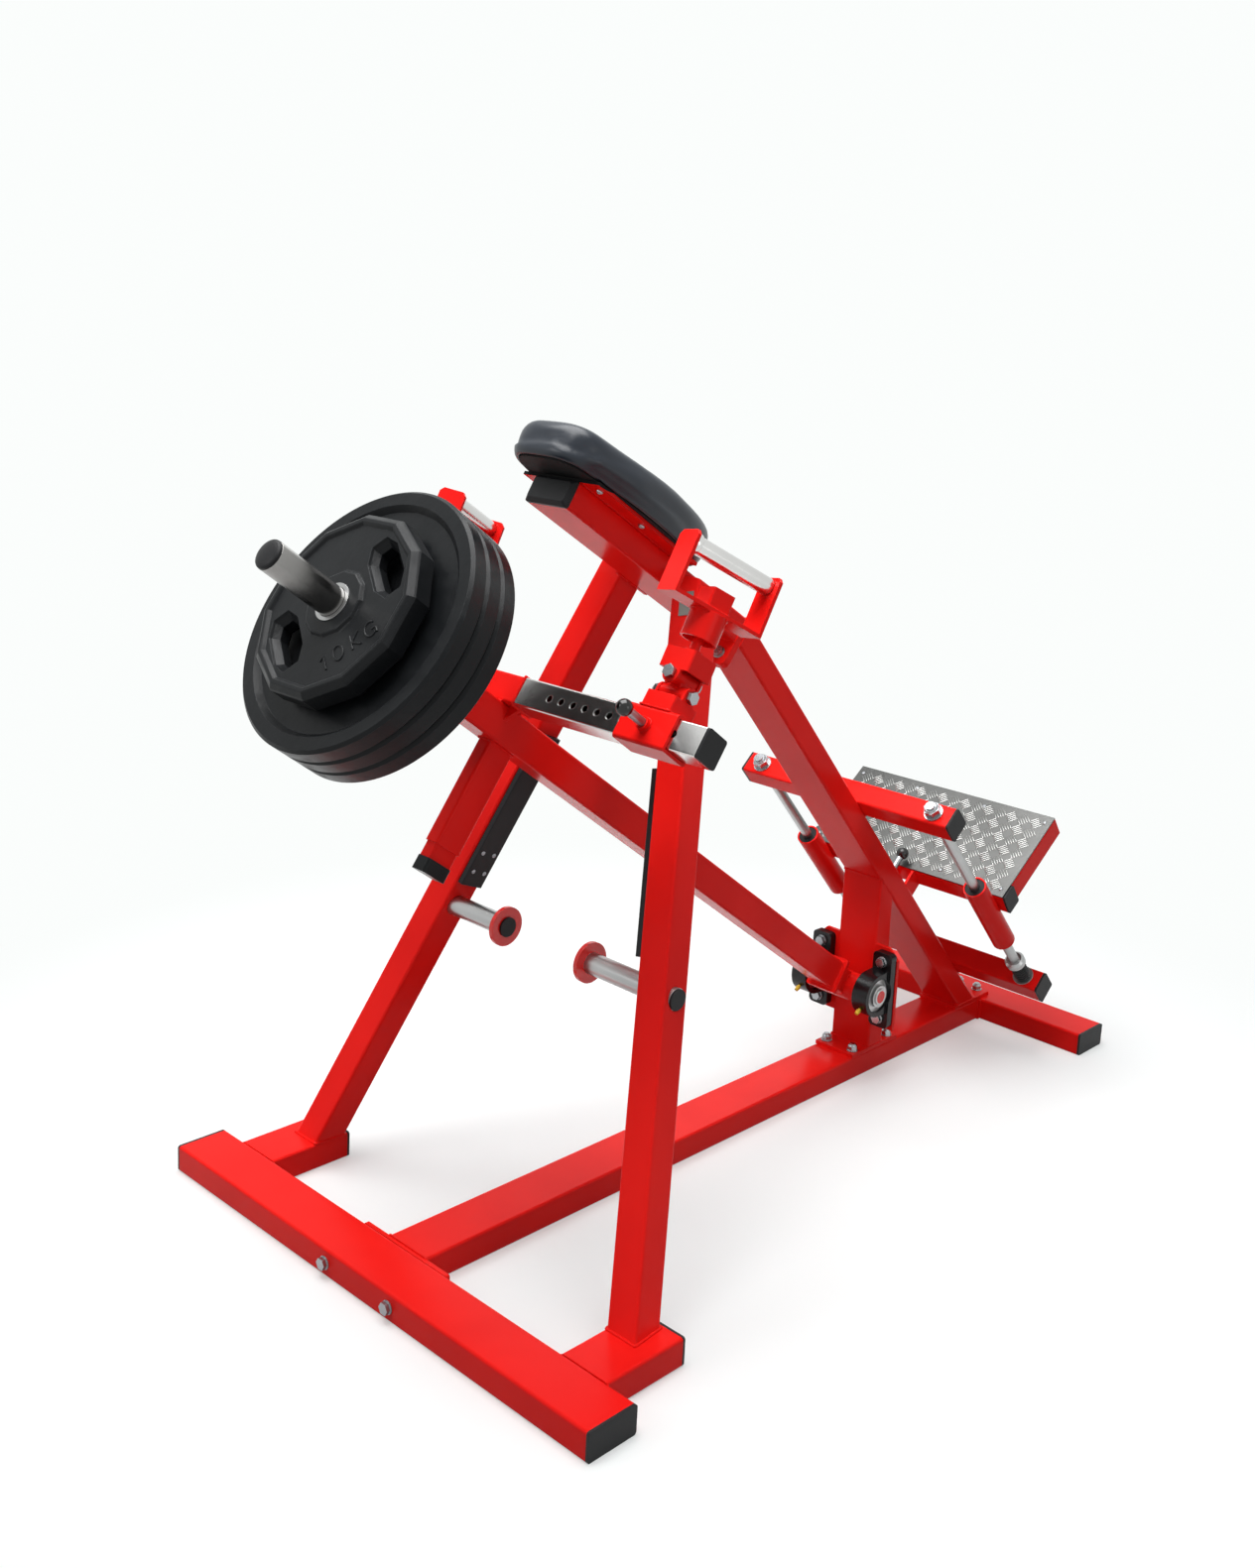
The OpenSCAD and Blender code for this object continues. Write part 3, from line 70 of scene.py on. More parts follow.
class Graph:
    """Adds nodes to one shader or geometry tree."""

    def __init__(self, tree: bpy.types.NodeTree) -> None:
        """Keeps the tree."""
        self.tree = tree

    def node(self, kind: str, settings: Mapping[str, object] | None = None,
             sockets: Mapping[Union[str, int], Value] | None = None, out: str | int = 0) -> "Field":
        """Adds one node.

        Args:
            kind: Type name of the node.
            settings: Its settings, which are set first.
            sockets: Values or links of its sockets, by name or number.
            out: Name or number of the output to hand back.

        Returns:
            The output.
        """
        node = self.tree.nodes.new(kind)
        for name, value in (settings or {}).items():
            setattr(node, name, value)
        for name, value in (sockets or {}).items():
            self.plug(value, node.inputs[name])
        return Field(self, node, out)

    def plug(self, value: Value, socket: bpy.types.NodeSocket) -> None:
        """Links an output to a socket, or sets the socket's own value.

        Args:
            value: Output, number, colour, vector, text or data block.
            socket: The input.
        """
        if isinstance(value, Field):
            self.tree.links.new(value.socket, socket)
        elif socket.type == "RGBA" and isinstance(value, tuple) and len(value) == 3:
            socket.default_value = (*value, 1.0)
        elif socket.type == "VECTOR" and isinstance(value, (int, float)):
            socket.default_value = (value, value, value)
        else:
            socket.default_value = value

    def seen_directly(self) -> "Field":
        """Tells the rays that come from the camera, off a gloss or through glass.

        Returns:
            1 for such a ray and 0 for the rest.
        """
        rays = self.node("ShaderNodeLightPath", out="Is Camera Ray")
        total = rays + rays.other("Is Glossy Ray") + rays.other("Is Transmission Ray")
        return total.maths("MINIMUM", 1.0)


class Field:
    """An output of a node. Python operators add the nodes that work them out."""

    def __init__(self, graph: Graph, node: bpy.types.Node, out: str | int = 0) -> None:
        """Wraps one output.

        Args:
            graph: Maker of the nodes in its tree.
            node: The node.
            out: Name or number of the output.
        """
        self.graph = graph
        self.node = node
        self.socket = node.outputs[out]

    def other(self, out: str) -> "Field":
        """Another output of the same node."""
        return Field(self.graph, self.node, out)

    def maths(self, operation: str, *values: Value, turned: bool = False) -> "Field":
        """Adds a Math node, or a Vector Math node where a vector takes part.

        Args:
            operation: Name of the operation.
            values: What follows this output.
            turned: Whether this output comes last instead of first.

        Returns:
            The result.
        """
        every = (*values, self) if turned else (self, *values)
        vector = any(isinstance(v, tuple) or (isinstance(v, Field) and v.socket.type == "VECTOR")
                     for v in every)
        kind = "ShaderNodeVectorMath" if vector else "ShaderNodeMath"
        out = "Value" if operation in ("LENGTH", "DOT_PRODUCT") else 0
        return self.graph.node(kind, {"operation": operation}, dict(enumerate(every)), out)

    def __add__(self, other: Value) -> "Field":
        """Sum."""
        return self.maths("ADD", other)

    def __radd__(self, other: Value) -> "Field":
        """Sum, with this output on the right."""
        return self.maths("ADD", other)

    def __sub__(self, other: Value) -> "Field":
        """Difference."""
        return self.maths("SUBTRACT", other)

    def __rsub__(self, other: Value) -> "Field":
        """Difference, with this output on the right."""
        return self.maths("SUBTRACT", other, turned=True)

    def __mul__(self, other: Value) -> "Field":
        """Product."""
        return self.maths("MULTIPLY", other)

    def __rmul__(self, other: Value) -> "Field":
        """Product, with this output on the right."""
        return self.maths("MULTIPLY", other)

    def __pow__(self, other: Value) -> "Field":
        """Power."""
        return self.maths("POWER", other)

    def __abs__(self) -> "Field":
        """Size without its sign."""
        return self.maths("ABSOLUTE")

    def sine(self) -> "Field":
        """Sine of an angle in radians."""
        return self.maths("SINE")

    def below(self, limit: Value) -> "Field":
        """Gives 1 where the value is less than limit, and 0 elsewhere."""
        return self.maths("LESS_THAN", limit)

    def length(self) -> "Field":
        """Length of a vector."""
        return self.maths("LENGTH")

    def dot(self, other: "Field") -> "Field":
        """Dot product of two vectors."""
        return self.maths("DOT_PRODUCT", other)

    def part(self, axis: str) -> "Field":
        """One component of a vector: X, Y or Z."""
        return self.graph.node("ShaderNodeSeparateXYZ", sockets={0: self}, out=axis)

    def ramp(self, low: float, high: float) -> "Field":
        """Runs smoothly from 0 at low to 1 at high, and stays there.

        Args:
            low: Value that maps to 0.
            high: Value that maps to 1.

        Returns:
            The mapped value.
        """
        return self.graph.node("ShaderNodeMapRange", {"interpolation_type": "SMOOTHSTEP"},
                               {"Value": self, "From Min": low, "From Max": high})

    def blend(self, low: Value, high: Value) -> "Field":
        """Colour between low, where the value is 0, and high, where it is 1.

        Args:
            low: First colour.
            high: Second colour.

        Returns:
            The mixed colour.
        """
        sockets = {0: self, 6: low, 7: high}
        return self.graph.node("ShaderNodeMix", {"data_type": "RGBA"}, sockets, 2)


# ------------------------------------------------------------------ finishes


class Surface(Enum):
    """What the surface of a finish is like at close range."""

    POWDER = "powder coat with a faint orange peel"
    MOULDED = "fine moulded grain"
    CAST = "coarse cast skin under enamel"
    PLATED = "bright plating with faint handling marks"
    TURNED = "fine lines left by turning or drawing"
    RUBBER = "moulded rubber with a dusty bloom"
    VINYL = "grained upholstery vinyl"


@dataclass(frozen=True)
class Finish:
    """Numbers that describe one finish.

    Attributes:
        colour: Linear base colour.
        shade: Linear colour of its darker or duller patches.
        surface: Close-range surface.
        rough: Roughness of the clean surface.
        metal: Metallic share.
        wear: Linear colour on the edges: rubbed wear, and on the rubber a painted highlight.
        edge_wear_and_glint_share: How much of that edge colour shows, from 0 to 1.
        specular: Strength of the plain reflection.
    """

    colour: Colour
    shade: Colour
    surface: Surface
    rough: float
    metal: float = 0.0
    wear: Colour = (0.3, 0.3, 0.3)
    edge_wear_and_glint_share: float = 0.0
    specular: float = 0.5


FINISHES: dict[str, Finish] = {
    "red_paint": Finish((0.95, 0.0150, 0.0110), (0.82, 0.0100, 0.0080), Surface.POWDER, 0.22,
                        wear=(1.0, 0.075, 0.055), edge_wear_and_glint_share=0.5, specular=0.06),
    "black_plastic": Finish((0.011, 0.011, 0.012), (0.018, 0.018, 0.019), Surface.MOULDED, 0.42,
                            wear=(0.07, 0.07, 0.07), edge_wear_and_glint_share=0.3, specular=0.15),
    "bearing_paint": Finish((0.007, 0.007, 0.008), (0.012, 0.012, 0.012), Surface.CAST, 0.20,
                            wear=(0.10, 0.10, 0.10), edge_wear_and_glint_share=0.4, specular=0.28),
    "zinc": Finish((0.40, 0.41, 0.42), (0.27, 0.28, 0.30), Surface.PLATED, 0.26, metal=1.0),
    "steel": Finish((0.46, 0.46, 0.46), (0.36, 0.36, 0.36), Surface.TURNED, 0.30, metal=1.0),
    "chrome": Finish((0.72, 0.71, 0.70), (0.60, 0.59, 0.58), Surface.TURNED, 0.16, metal=1.0),
    # Chrome of the horn made darker: a painted reflection of dark surroundings
    "horn_steel": Finish((0.32, 0.31, 0.30), (0.20, 0.195, 0.19), Surface.TURNED, 0.22, metal=1.0),
    # The rubber's light edge colour is a painted highlight along the plates' edges
    "rubber": Finish((0.0050, 0.0058, 0.0068), (0.0120, 0.0128, 0.0138), Surface.RUBBER, 0.30,
                     wear=(0.075, 0.083, 0.090), edge_wear_and_glint_share=0.7, specular=0.14),
    "vinyl": Finish((0.0085, 0.0125, 0.0205), (0.0105, 0.0150, 0.0240), Surface.VINYL, 0.33,
                    specular=0.42),
    "pin_ball": Finish((0.004, 0.004, 0.004), (0.006, 0.006, 0.006), Surface.MOULDED, 0.12,
                       specular=0.25),
    "bare_plate": Finish((0.24, 0.24, 0.22), (0.15, 0.15, 0.14), Surface.CAST, 0.5, metal=1.0),
    "board": Finish((0.010, 0.010, 0.010), (0.020, 0.020, 0.020), Surface.MOULDED, 0.7,
                    specular=0.15),
    "tread": Finish((0.125, 0.125, 0.122), (0.085, 0.085, 0.083), Surface.CAST, 0.36, metal=1.0),
    # A lighter copy of the tread's metal for the raised bars: a painted highlight on their tops
    "tread_bar": Finish((0.42, 0.42, 0.41), (0.30, 0.30, 0.29), Surface.PLATED, 0.18, metal=1.0),
    "spring_black": Finish((0.012, 0.012, 0.013), (0.018, 0.018, 0.019), Surface.POWDER, 0.35,
                           wear=(0.2, 0.2, 0.2), edge_wear_and_glint_share=0.3, specular=0.3),
    "cap_yellow": Finish((0.80, 0.52, 0.03), (0.66, 0.42, 0.02), Surface.MOULDED, 0.45,
                         specular=0.3),
}


@dataclass(frozen=True)
class Zone:
    """A stretched ball in which a second finish shows.

    Attributes:
        centre: Its middle, in metres.
        stretch: Factor on each axis; 0 lets it run on without an end along that axis.
        reach: Its radius, in metres.
    """

    centre: Colour
    stretch: Colour
    reach: float


class Paintbox:
    """Makes one node material per finish and hands it out by name."""

    # Scale per metre, detail, and depth in metres of the grain of the plain surfaces
    GRAIN = {
        Surface.POWDER: (420.0, 1.0, 0.00006),
        Surface.CAST: (260.0, 3.0, 0.0004),
        Surface.MOULDED: (1300.0, 1.0, 0.00008),
        Surface.TURNED: (900.0, 2.0, 0.00003),
        Surface.PLATED: (300.0, 2.0, 0.00003),
    }

    def __init__(self) -> None:
        """Starts empty."""
        self.made: dict[str, bpy.types.Material] = {}

    def get(self, name: str) -> bpy.types.Material:
        """Gives the material of a finish, made on first use.

        Args:
            name: Name of the finish.

        Returns:
            The material.
        """
        if name not in self.made:
            self.made[name] = self._make(name, FINISHES[name])
        return self.made[name]

    def split(self, name: str, outer: str, inner: str, zone: Zone) -> bpy.types.Material:
        """Gives a material with one finish inside a zone and another outside it.

        Args:
            name: Name of the material.
            outer: Finish that shows outside the zone.
            inner: Finish that shows inside it.
            zone: Where the finish changes.

        Returns:
            The material.
        """
        if name not in self.made:
            self.made[name] = self._make(name, FINISHES[outer], FINISHES[inner], zone)
        return self.made[name]

    def _make(self, name: str, finish: Finish, inner: Finish | None = None,
              zone: Zone | None = None) -> bpy.types.Material:
        """Builds the node tree of one material.

        Args:
            name: Name of the material.
            finish: Its finish.
            inner: Second finish, if it has one.
            zone: Where the second finish shows.

        Returns:
            The material.
        """
        material = bpy.data.materials.new(f"mat_{name}")
        material.use_nodes = True
        graph = Graph(material.node_tree)
        shader = material.node_tree.nodes["Principled BSDF"]
        where = graph.node("ShaderNodeTexCoord", out="Object")
        # Broad patches of the second colour, and fine marks that break up the worn edges and their
        # painted highlight
        broad = self._noise(where, 3.2, 3.0)
        fine = self._noise(where, 60.0, 4.0)
        bevel = graph.node("ShaderNodeBevel", {"samples": 4}, {"Radius": EDGE_RADIUS})
        facing = graph.node("ShaderNodeNewGeometry", out="Normal")
        # Edges, found from the bevelled normal, take the edge colour: rubbed wear, and on the
        # rubber a painted highlight
        worn_and_glinting_edges = (1.0 - bevel.dot(facing)).ramp(0.015, 0.12) * fine.ramp(0.40, 0.64)

        def tint_of(look: Finish) -> Field:
            """Base colour of a finish with its patches, edge wear and painted edge highlight."""
            base = broad.ramp(0.30, 0.72).blend(look.colour, look.shade)
            return (worn_and_glinting_edges * look.edge_wear_and_glint_share).blend(base, look.wear)

        tint = tint_of(finish)
        rough = (broad - 0.5) * 0.10 + (fine - 0.5) * 0.07 + worn_and_glinting_edges * 0.12 + finish.rough
        if finish.surface in (Surface.RUBBER, Surface.PLATED):
            smears = self._noise(where * (1.0, 1.0, 2.2), 17.0, 5.0).ramp(0.46, 0.68)
            rough = rough + smears * 0.14
        shader.inputs["Specular IOR Level"].default_value = finish.specular
        shader.inputs["Metallic"].default_value = finish.metal
        if inner is not None and zone is not None:
            near = ((where - zone.centre) * zone.stretch).length().below(zone.reach)
            tint = near.blend(tint, tint_of(inner))
            rough = rough + near * (inner.rough - finish.rough)
            metal = near * (inner.metal - finish.metal) + finish.metal
            graph.plug(metal, shader.inputs["Metallic"])
        graph.plug(tint, shader.inputs["Base Color"])
        graph.plug(rough, shader.inputs["Roughness"])
        relief, depth = self._relief(where, finish.surface)
        bump = graph.node("ShaderNodeBump", sockets={"Strength": 1.0, "Distance": depth,
                                                     "Height": relief, "Normal": bevel})
        graph.plug(bump, shader.inputs["Normal"])
        return material

    @staticmethod
    def _noise(where: Field, scale: float, detail: float) -> Field:
        """Cloudy value round 0.5 at a scale per metre."""
        return where.graph.node("ShaderNodeTexNoise",
                                sockets={"Vector": where, "Scale": scale, "Detail": detail})

    def _relief(self, where: Field, surface: Surface) -> tuple[Field, float]:
        """Gives the height field of a surface.

        Args:
            where: Object coordinates.
            surface: The surface.

        Returns:
            The height, and its depth in metres.
        """
        if surface is Surface.RUBBER:
            return self._noise(where, 700.0, 2.0) + self._noise(where, 45.0, 2.0) * 3.0, 0.00016
        if surface is Surface.VINYL:
            grain = where.graph.node("ShaderNodeTexVoronoi", {"feature": "DISTANCE_TO_EDGE"},
                                     {"Vector": where, "Scale": 520.0}, "Distance")
            return grain.ramp(0.0, 0.35) * 0.4 + self._noise(where, 30.0, 1.0) * 2.0, 0.00009
        scale, detail, depth = self.GRAIN[surface]
        return self._noise(where, scale, detail), depth


# ------------------------------------------------------------------ places on the machine


@dataclass(frozen=True)
class Place:
    """A turned frame on the machine, in millimetres.

    Attributes:
        origin: Its origin.
        turn: Its axes, as the columns of a matrix.
    """

    origin: Vector
    turn: Matrix

    def point(self, x: float, y: float, z: float) -> Vector:
        """A local point in the part's frame, in metres."""
        return (self.origin + self.turn @ Vector((x, y, z))) * MM

    def matrix(self, x: float = 0.0, y: float = 0.0, z: float = 0.0) -> Matrix:
        """Transform of something modelled at a local point, in metres."""
        return Matrix.Translation(self.point(x, y, z)) @ self.turn.to_4x4()

    def child(self, x: float, y: float, z: float, turn: Matrix | None = None) -> "Place":
        """A place further along this one."""
        turned = self.turn @ (turn if turn is not None else Matrix.Identity(3))
        return Place(self.origin + self.turn @ Vector((x, y, z)), turned)


def about(axis: str, degrees: float) -> Matrix:
    """Rotation about one axis."""
    return Matrix.Rotation(math.radians(degrees), 3, axis)


def oblong(x: float, y: float) -> list[tuple[float, float]]:
    """Corners of an oblong round the origin, one after the other.

    Args:
        x: Half its width.
        y: Half its height.

    Returns:
        The corners.
    """
    return [(-x, -y), (x, -y), (x, y), (-x, y)]


def square(half: float) -> list[tuple[float, float]]:
    """Corners of a square round the origin, from half the length of its sides."""
    return oblong(half, half)


# Slopes of the lever, the pad beam, the strut and the tread, in degrees
LEVER_ANGLE, BEAM_ANGLE, STRUT_ANGLE, TREAD_SLOPE = 35.4, 31.3, 47.6, 36.4
# The lever's axis, the lower front corner of the beam, and the beam's length
PIVOT = Vector((0.0, 1236.4, 207.0))
NOSE = Vector((0.0, 313.4, 1287.0))
BEAM_LEN = 524.0
# Front and rear faces of the post
POST_FRONT, POST_BACK = 1284.0, 1334.0
# Front edge of the tread's top and ball of its pull pin, along the strut and over its underside
TRAY_AT, LOCK_AT = (108.0, 98.0), (87.0, 118.0)
# Point at which the undersides of the beam and the strut meet
_joint_y = NOSE.y + BEAM_LEN * math.cos(math.radians(BEAM_ANGLE))
_joint_z = NOSE.z - BEAM_LEN * math.sin(math.radians(BEAM_ANGLE))
# Length of the strut from there to the post, and the height at which it meets the post
STRUT_RUN = (POST_FRONT - _joint_y) / math.cos(math.radians(STRUT_ANGLE))
STRUT_Z = _joint_z - STRUT_RUN * math.sin(math.radians(STRUT_ANGLE))
# Frames of the sloping pieces, of the joint between beam and strut, and of the floor
LEVER = Place(PIVOT, about("X", -LEVER_ANGLE))
BEAM = Place(NOSE, about("X", -BEAM_ANGLE))
STRUT = Place(Vector((0.0, POST_FRONT, STRUT_Z)), about("X", -STRUT_ANGLE))
TRAY = STRUT.child(0.0, *TRAY_AT, about("X", STRUT_ANGLE + TREAD_SLOPE))
JOINT = Place(Vector((0.0, _joint_y, _joint_z)), about("X", -(BEAM_ANGLE + STRUT_ANGLE) / 2))
WORLD = Place(Vector((0.0, 0.0, 0.0)), Matrix.Identity(3))
# Distance of the handle rail from the axis, and its height over the arm's middle
RAIL_AT, RAIL_N = 1264.0, 55.0
# Name, distance from the middle, tip about X and turn about Z of each handle, by side
HANDLES = {1: ("right", 338.9, 6.0, -17.0), -1: ("left", 258.5, 9.7, 20.3)}
# Heights of the lower link bolt over the arm, of the upper one over it, of the bracket
# over that one, and of the grip over the bracket
FORK_N, LINK_GAP, BASE_LOW, GRIP_UP = 124.0, 25.0, 109.0, 85.0
# Distance of the small plate's inner face from the axis
FACE_AT = 1608.6
# Foot of the right leg's axis, and how far the legs lean back and in
LEG_FOOT = Vector((413.8, 175.8, 50.0))
LEAN_BACK, LEAN_IN = 20.783, 15.46
# Half the width of a leg, of the arm, of the rail and of a flat tube, whose height is FLAT_HIGH
LEG_HALF, ARM_HALF, RAIL_HALF, FLAT_HALF, FLAT_HIGH = 30.0, 30.0, 25.0, 50.0, 50.0
# Height over the beam's underside at which the legs end
LEG_TOP = 25.0
# Nodes that show another finish than their slot's; the horn's darker chrome is a painted dark
# reflection
OWN_FINISH = {"weight_horn": "horn_steel", "guide_rods": "steel"}


def leg_place(side: int) -> Place:
    """A leg's frame: z runs up its axis; side is 1 on the right and -1 on the left."""
    foot = Vector((side * LEG_FOOT.x, LEG_FOOT.y, LEG_FOOT.z))
    return Place(foot, about("X", -LEAN_BACK) @ about("Y", -side * LEAN_IN))


def swivel_place(side: int) -> Place:
    """The frame of a handle's bracket, at its upper link bolt.

    Args:
        side: 1 on the right and -1 on the left.

    Returns:
        The place.
    """
    _, x, pitch, yaw = HANDLES[side]
    fork = LEVER.child(x * side, -RAIL_AT, FORK_N, about("X", pitch))
    return fork.child(0.0, 0.0, LINK_GAP, about("Z", yaw))


# ------------------------------------------------------------------ mesh tools


class Build:
    """Small mesh makers. Each gives an object whose place is in its mesh."""

    def __init__(self, paints: Paintbox) -> None:
        """Keeps the paints."""
        self.paints = paints

    def mesh(self, name: str, points: Iterable[Vector], faces: Iterable[Sequence[int]], slot: str,
             body: str, smooth: bool = True) -> bpy.types.Object:
        """Links a mesh object that rides on a body.

        Args:
            name: Name of the piece.
            points: Vertices in the part's frame.
            faces: Faces as vertex numbers.
            slot: Material slot of the record.
            body: CAD body that the piece rides on.
            smooth: Whether its faces are shaded smooth.

        Returns:
            The new object.
        """
        piece = bpy.data.objects.new(name, solid(name, points, faces, smooth))
        return self.adopt(piece, slot, body)

    def adopt(self, piece: bpy.types.Object, slot: str, body: str,
              paint: str | None = None) -> bpy.types.Object:
        """Gives a piece its material and its body.

        Args:
            piece: The object.
            slot: Material slot of the record.
            body: CAD body that the piece rides on.
            paint: Finish, where it isn't the slot's own.

        Returns:
            The same object.
        """
        if not piece.users_collection:
            bpy.context.scene.collection.objects.link(piece)
        piece.data.materials.clear()
        piece.data.materials.append(self.paints.get(paint or slot))
        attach(piece, body)
        LOG.info("%s rides on %s", piece.name, body)
        return piece

    @staticmethod
    def frozen(piece: bpy.types.Object) -> bpy.types.Mesh:
        """Works out a piece's modifiers and takes them off.

        Args:
            piece: The piece.

        Returns:
            The mesh that they give.
        """
        bpy.context.view_layer.update()
        graph = bpy.context.evaluated_depsgraph_get()
        data = bpy.data.meshes.new_from_object(piece.evaluated_get(graph))
        piece.modifiers.clear()
        return data

    def run(self, name: str, points: bpy.types.Mesh, tree: bpy.types.NodeTree,
            values: Mapping[str, Value], slot: str, body: str) -> bpy.types.Object:
        """Runs a geometry tree on a mesh and keeps the plain mesh that it gives.

        Args:
            name: Name of the finished piece.
            points: Mesh that the tree starts from.
            tree: The tree, with named inputs.
            values: Value of each named input.
            slot: Material slot of the record.
            body: CAD body that the piece rides on.

        Returns:
            The finished piece.
        """
        carrier = bpy.data.objects.new(f"{name}_carrier", points)
        bpy.context.scene.collection.objects.link(carrier)
        modifier = carrier.modifiers.new("tree", "NODES")
        modifier.node_group = tree
        ids = {item.name: item.identifier for item in tree.interface.items_tree
               if item.in_out == "INPUT"}
        for label, value in {**values, "Finish": self.paints.get(slot)}.items():
            modifier[ids[label]] = value
        data = self.frozen(carrier)
        bpy.data.objects.remove(carrier)
        data.name = name
        return self.adopt(bpy.data.objects.new(name, data), slot, body)


def solid(name: str, points: Iterable[Vector], faces: Iterable[Sequence[int]],
          smooth: bool = True) -> bpy.types.Mesh:
    """A closed mesh whose faces point outwards.

    Args:
        name: Name of the mesh.
        points: Its vertices.
        faces: Its faces as vertex numbers.
        smooth: Whether its faces are shaded smooth.

    Returns:
        The mesh.
    """
    data = bpy.data.meshes.new(name)
    data.from_pydata([tuple(p) for p in points], [], [list(f) for f in faces])
    shell = bmesh.new()
    shell.from_mesh(data)
    bmesh.ops.recalc_face_normals(shell, faces=shell.faces)
    shell.to_mesh(data)
    shell.free()
    for face in data.polygons:
        face.use_smooth = smooth
    return data


def rings(outlines: Sequence[Sequence[Vector]]) -> tuple[list[Vector], list[list[int]]]:
    """Points and faces of a body drawn through outlines of equal count, with its ends closed.

    Args:
        outlines: The outlines, one after the other.

    Returns:
        Vertices and faces.
    """
    count = len(outlines[0])
    points = [spot for outline in outlines for spot in outline]
    last = len(points) - count
    faces = [[i + k, i + (k + 1) % count, i + count + (k + 1) % count, i + count + k]
             for i in range(0, last, count) for k in range(count)]
    return points, faces + [list(range(count)), list(range(last, last + count))]


def lathe_unit(name: str, profile: Sequence[tuple[float, float]], sides: int) -> bpy.types.Object:
    """A turned unit about +Z.

    Args:
        name: Name of the unit.
        profile: Radius and height of each ring, in millimetres.
        sides: Sides of a ring.

    Returns:
        The linked unit.
    """
    turns = [2 * math.pi * k / sides for k in range(sides)]
    points, faces = rings([[Vector((r * math.cos(a), r * math.sin(a), h)) * MM for a in turns]
                           for r, h in profile])
    unit = bpy.data.objects.new(name, solid(name, points, faces, False))
    bpy.context.scene.collection.objects.link(unit)
    return unit


def geometry_tree(name: str, inputs: Mapping[str, str]) -> tuple[bpy.types.NodeTree, Graph, Field]:
    """A geometry tree with named inputs.

    Args:
        name: Name of the tree.
        inputs: Socket type of each input, Geometry first.

    Returns:
        The tree, its node maker and its input node.
    """
    tree = bpy.data.node_groups.new(name, "GeometryNodeTree")
    for label, kind in inputs.items():
        tree.interface.new_socket(name=label, in_out="INPUT", socket_type=f"NodeSocket{kind}")
    tree.interface.new_socket(name="Geometry", in_out="OUTPUT", socket_type="NodeSocketGeometry")
    graph = Graph(tree)
    return tree, graph, graph.node("NodeGroupInput", out="Geometry")


def close_tree(graph: Graph, shape: Field, finish: Field) -> None:
    """Ends a tree in Realize Instances and Set Material.

    Args:
        graph: Maker of the tree's nodes.
        shape: Geometry that the tree has built.
        finish: Its material.
    """
    real = graph.node("GeometryNodeRealizeInstances", sockets={"Geometry": shape})
    dressed = graph.node("GeometryNodeSetMaterial", sockets={"Geometry": real, "Material": finish})
    graph.tree.links.new(dressed.socket, graph.tree.nodes.new("NodeGroupOutput").inputs[0])


@dataclass
class Repeat:
    """Copies of one small mesh, placed by a geometry tree.

    Attributes:
        name: Name of the finished piece.
        unit: Object that is copied.
        slot: Material slot of the record.
        body: CAD body that the piece rides on.
        places: Transforms of the copies, in the part's frame.
    """

    name: str
    unit: bpy.types.Object
    slot: str
    body: str
    places: list[Matrix] = field(default_factory=list)

    def make(self, build: Build) -> bpy.types.Object:
        """Runs the tree and keeps the plain mesh that it gives.

        Args:
            build: Maker that gives the piece its material and body.

        Returns:
            The finished piece.
        """
        points = bpy.data.meshes.new(f"{self.name}_points")
        points.from_pydata([m.translation[:] for m in self.places], [], [])
        turns = points.attributes.new("turn", "FLOAT_VECTOR", "POINT")
        for entry, matrix in zip(turns.data, self.places):
            entry.vector = matrix.to_euler("XYZ")[:]
        piece = build.run(self.name, points, self._tree(), {"Unit": self.unit},
                          self.slot, self.body)
        bpy.data.objects.remove(self.unit)
        return piece

    def _tree(self) -> bpy.types.NodeTree:
        """Places the unit on each point, turned as the point says.

        Returns:
            The tree.
        """
        tree, graph, start = geometry_tree(f"{self.name}_tree", {
            "Geometry": "Geometry", "Unit": "Object", "Finish": "Material"})
        unit = graph.node("GeometryNodeObjectInfo", sockets={"Object": start.other("Unit")},
                          out="Geometry")
        turn = graph.node("GeometryNodeInputNamedAttribute", {"data_type": "FLOAT_VECTOR"},
                          {"Name": "turn"})
        copies = graph.node("GeometryNodeInstanceOnPoints", sockets={
            "Points": start, "Instance": unit, "Rotation": turn})
        close_tree(graph, copies, start.other("Finish"))
        return tree


@dataclass
class Line:
    """One line that a round bead follows.

    Attributes:
        path: Its corners, in metres.
        radius: Radius of the bead, in metres.
        closed: Whether the line runs back into its start.
    """

    path: Sequence[Vector]
    radius: float
    closed: bool = False


